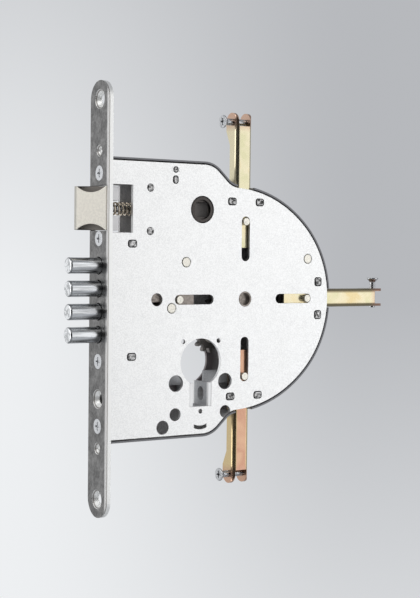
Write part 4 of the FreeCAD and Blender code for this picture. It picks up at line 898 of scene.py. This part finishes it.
class LOCK_OT_stage(bpy.types.Operator):
    """Sets the floor, the backdrop's light, the lamps and the camera"""
    bl_idname = "lock.stage"
    bl_label = "Stage"

    def execute(self, context):
        stage = context.scene.lock_stage
        pick([])
        bpy.ops.mesh.primitive_circle_add(vertices=FLOOR_SIDES, radius=FLOOR_RADIUS, fill_type="NGON",
                                          location=FLOOR_PLACE)
        floor = context.object
        floor.name = "floor"
        bpy.ops.object.transform_apply(location=True)
        floor.data.materials.append(self.floor_paint(stage))
        self.hang_backdrop(context, stage)
        self.hang_lamps(context)
        self.set_camera(context, stage)
        return {"FINISHED"}

    def floor_paint(self, stage):
        # Matt painted board: plain and pale
        material = bpy.data.materials.new("matt_board")
        material.use_nodes = True
        tree = material.node_tree
        tree.nodes.clear()
        place = add_node(tree, "ShaderNodeTexCoord").outputs["Object"]
        grain = add_node(tree, "ShaderNodeTexNoise", {"Vector": place, "Scale": 60.0})
        darker = [c * 0.97 for c in stage.floor]
        tone = add_node(tree, "ShaderNodeMix", {
            "Factor": grain.outputs["Fac"], "A": (*stage.floor, 1), "B": (*darker, 1)}, data_type="RGBA")
        shader = add_node(tree, "ShaderNodeBsdfPrincipled", {
            "Base Color": tone.outputs["Result"], "Roughness": 0.9})
        add_node(tree, "ShaderNodeOutputMaterial", {"Surface": shader.outputs["BSDF"]})
        return material

    def hang_backdrop(self, context, stage):
        # What the camera and the metal see: pale at the lower left, grey at the upper right,
        # and for the metal alone dim overhead and round the camera. What lights the floor: a pale room
        world = bpy.data.worlds.new("studio")
        context.scene.world = world
        world.use_nodes = True
        tree = world.node_tree
        tree.nodes.clear()
        way = add_node(tree, "ShaderNodeTexCoord").outputs["Generated"]
        turned = add_node(tree, "ShaderNodeVectorRotate", {"Vector": way, "Angle": BACKDROP_TURN},
                          rotation_type="Z_AXIS")
        parts = add_node(tree, "ShaderNodeSeparateXYZ", {"Vector": turned.outputs["Vector"]})
        across = add_node(tree, "ShaderNodeMapRange", {
            "Value": parts.outputs["X"], "From Min": LEFT_TO_RIGHT[0], "From Max": LEFT_TO_RIGHT[1]},
            interpolation_type="SMOOTHSTEP")
        left = add_node(tree, "ShaderNodeMapRange", {
            "Value": parts.outputs["Z"], "From Min": LEFT_SIDE[0], "From Max": LEFT_SIDE[1],
            "To Min": 1.0, "To Max": 0.46})
        right = add_node(tree, "ShaderNodeMapRange", {
            "Value": parts.outputs["Z"], "From Min": RIGHT_SIDE[0], "From Max": RIGHT_SIDE[1],
            "To Min": 0.52, "To Max": 0.04})
        glow = add_node(tree, "ShaderNodeMix", {
            "Factor": across.outputs["Result"], "A": left.outputs["Result"], "B": right.outputs["Result"]})
        seen = add_node(tree, "ShaderNodeMix", {
            "Factor": glow.outputs["Result"], "A": (*stage.grey, 1), "B": (*stage.pale, 1)}, data_type="RGBA")
        facing = add_node(tree, "ShaderNodeMapRange", {
            "Value": parts.outputs["Y"], "From Min": FACING[0], "From Max": FACING[1],
            "To Min": 1.0, "To Max": 0.05})
        overhead = add_node(tree, "ShaderNodeMapRange", {
            "Value": parts.outputs["Z"], "From Min": OVERHEAD[0], "From Max": OVERHEAD[1],
            "To Min": 1.0, "To Max": 0.85})
        dim = add_node(tree, "ShaderNodeMath", {0: facing.outputs["Result"], 1: overhead.outputs["Result"]},
                       operation="MULTIPLY")
        path = add_node(tree, "ShaderNodeLightPath")
        mirrored = add_node(tree, "ShaderNodeMix", {
            "Factor": dim.outputs["Value"], "A": (0, 0, 0, 1), "B": seen.outputs["Result"]}, data_type="RGBA")
        sharp = add_node(tree, "ShaderNodeMath", {
            0: path.outputs["Is Camera Ray"], 1: path.outputs["Is Transmission Ray"]}, operation="MAXIMUM")
        for_metal = add_node(tree, "ShaderNodeMix", {
            "Factor": path.outputs["Is Glossy Ray"], "A": (*stage.room, 1), "B": mirrored.outputs["Result"]},
            data_type="RGBA")
        shown = add_node(tree, "ShaderNodeMix", {
            "Factor": sharp.outputs["Value"], "A": for_metal.outputs["Result"], "B": seen.outputs["Result"]},
            data_type="RGBA")
        light = add_node(tree, "ShaderNodeBackground", {"Color": shown.outputs["Result"], "Strength": 1.0})
        add_node(tree, "ShaderNodeOutputWorld", {"Surface": light.outputs["Background"]})

    def hang_lamps(self, context):
        # The metal mirrors the soft boxes, the camera doesn't see them
        for name, place, width, height, radiance in LAMPS:
            bpy.ops.object.light_add(type="AREA", location=place)
            lamp = context.object
            lamp.name = name
            lamp.data.shape = "RECTANGLE"
            lamp.data.size = width
            lamp.data.size_y = height
            lamp.data.energy = radiance * math.pi * width * height
            lamp.visible_camera = False
            aim = LIT_POINT - Vector(place)
            lamp.rotation_euler = aim.to_track_quat("-Z", "Y").to_euler()

    def set_camera(self, context, stage):
        yaw, pitch, roll = (math.radians(angle) for angle in CAMERA_ANGLES)
        ahead = Vector((0, math.cos(pitch), math.sin(pitch)))
        up = Vector((0, -math.sin(pitch), math.cos(pitch)))
        right = Vector((1, 0, 0))
        tilted = math.cos(roll) * right + math.sin(roll) * up
        upright = -math.sin(roll) * right + math.cos(roll) * up
        turn = Matrix.Rotation(yaw, 3, "Z")
        axes = Matrix([turn @ tilted, turn @ upright, turn @ -ahead]).transposed()
        bpy.ops.object.camera_add(location=CAMERA_PLACE)
        camera = context.object
        camera.rotation_euler = axes.to_euler()
        camera.data.sensor_width = SENSOR_WIDTH
        camera.data.lens = stage.lens
        camera.data.clip_start = 0.05
        camera.data.clip_end = 20.0
        context.scene.camera = camera


class LOCK_PT_lock(bpy.types.Panel):
    """Lists the lock's pieces"""
    bl_idname = "LOCK_PT_lock"
    bl_label = "Mortise lock"
    bl_space_type = "VIEW_3D"
    bl_region_type = "UI"
    bl_category = "Lock"

    def draw(self, context):
        for group in ("lock_finish", "lock_sizes", "lock_stage"):
            box = self.layout.box()
            settings = getattr(context.scene, group)
            for name in settings.__annotations__:
                box.prop(settings, name)
        for operator in OPERATORS:
            self.layout.operator(operator.bl_idname)


GROUPS = {"lock_finish": LOCK_PG_finish, "lock_sizes": LOCK_PG_sizes, "lock_stage": LOCK_PG_stage}
OPERATORS = (LOCK_OT_case, LOCK_OT_stakes, LOCK_OT_forend, LOCK_OT_bolts, LOCK_OT_rods, LOCK_OT_gears,
             LOCK_OT_latch, LOCK_OT_spring, LOCK_OT_threads, LOCK_OT_stage)


def register():
    for name, group in GROUPS.items():
        bpy.utils.register_class(group)
        setattr(bpy.types.Scene, name, bpy.props.PointerProperty(type=group))
    for operator in OPERATORS:
        bpy.utils.register_class(operator)
    bpy.utils.register_class(LOCK_PT_lock)


def unregister():
    bpy.utils.unregister_class(LOCK_PT_lock)
    for operator in reversed(OPERATORS):
        bpy.utils.unregister_class(operator)
    for name, group in GROUPS.items():
        delattr(bpy.types.Scene, name)
        bpy.utils.unregister_class(group)


def main():
    register()
    bpy.ops.lock.case()
    bpy.ops.lock.stakes()
    bpy.ops.lock.forend()
    bpy.ops.lock.bolts()
    bpy.ops.lock.rods()
    bpy.ops.lock.gears()
    bpy.ops.lock.latch()
    bpy.ops.lock.spring()
    bpy.ops.lock.threads()
    bpy.ops.lock.stage()
    bpy.context.scene.view_settings.view_transform = "Standard"


if __name__ == "__main__":
    main()
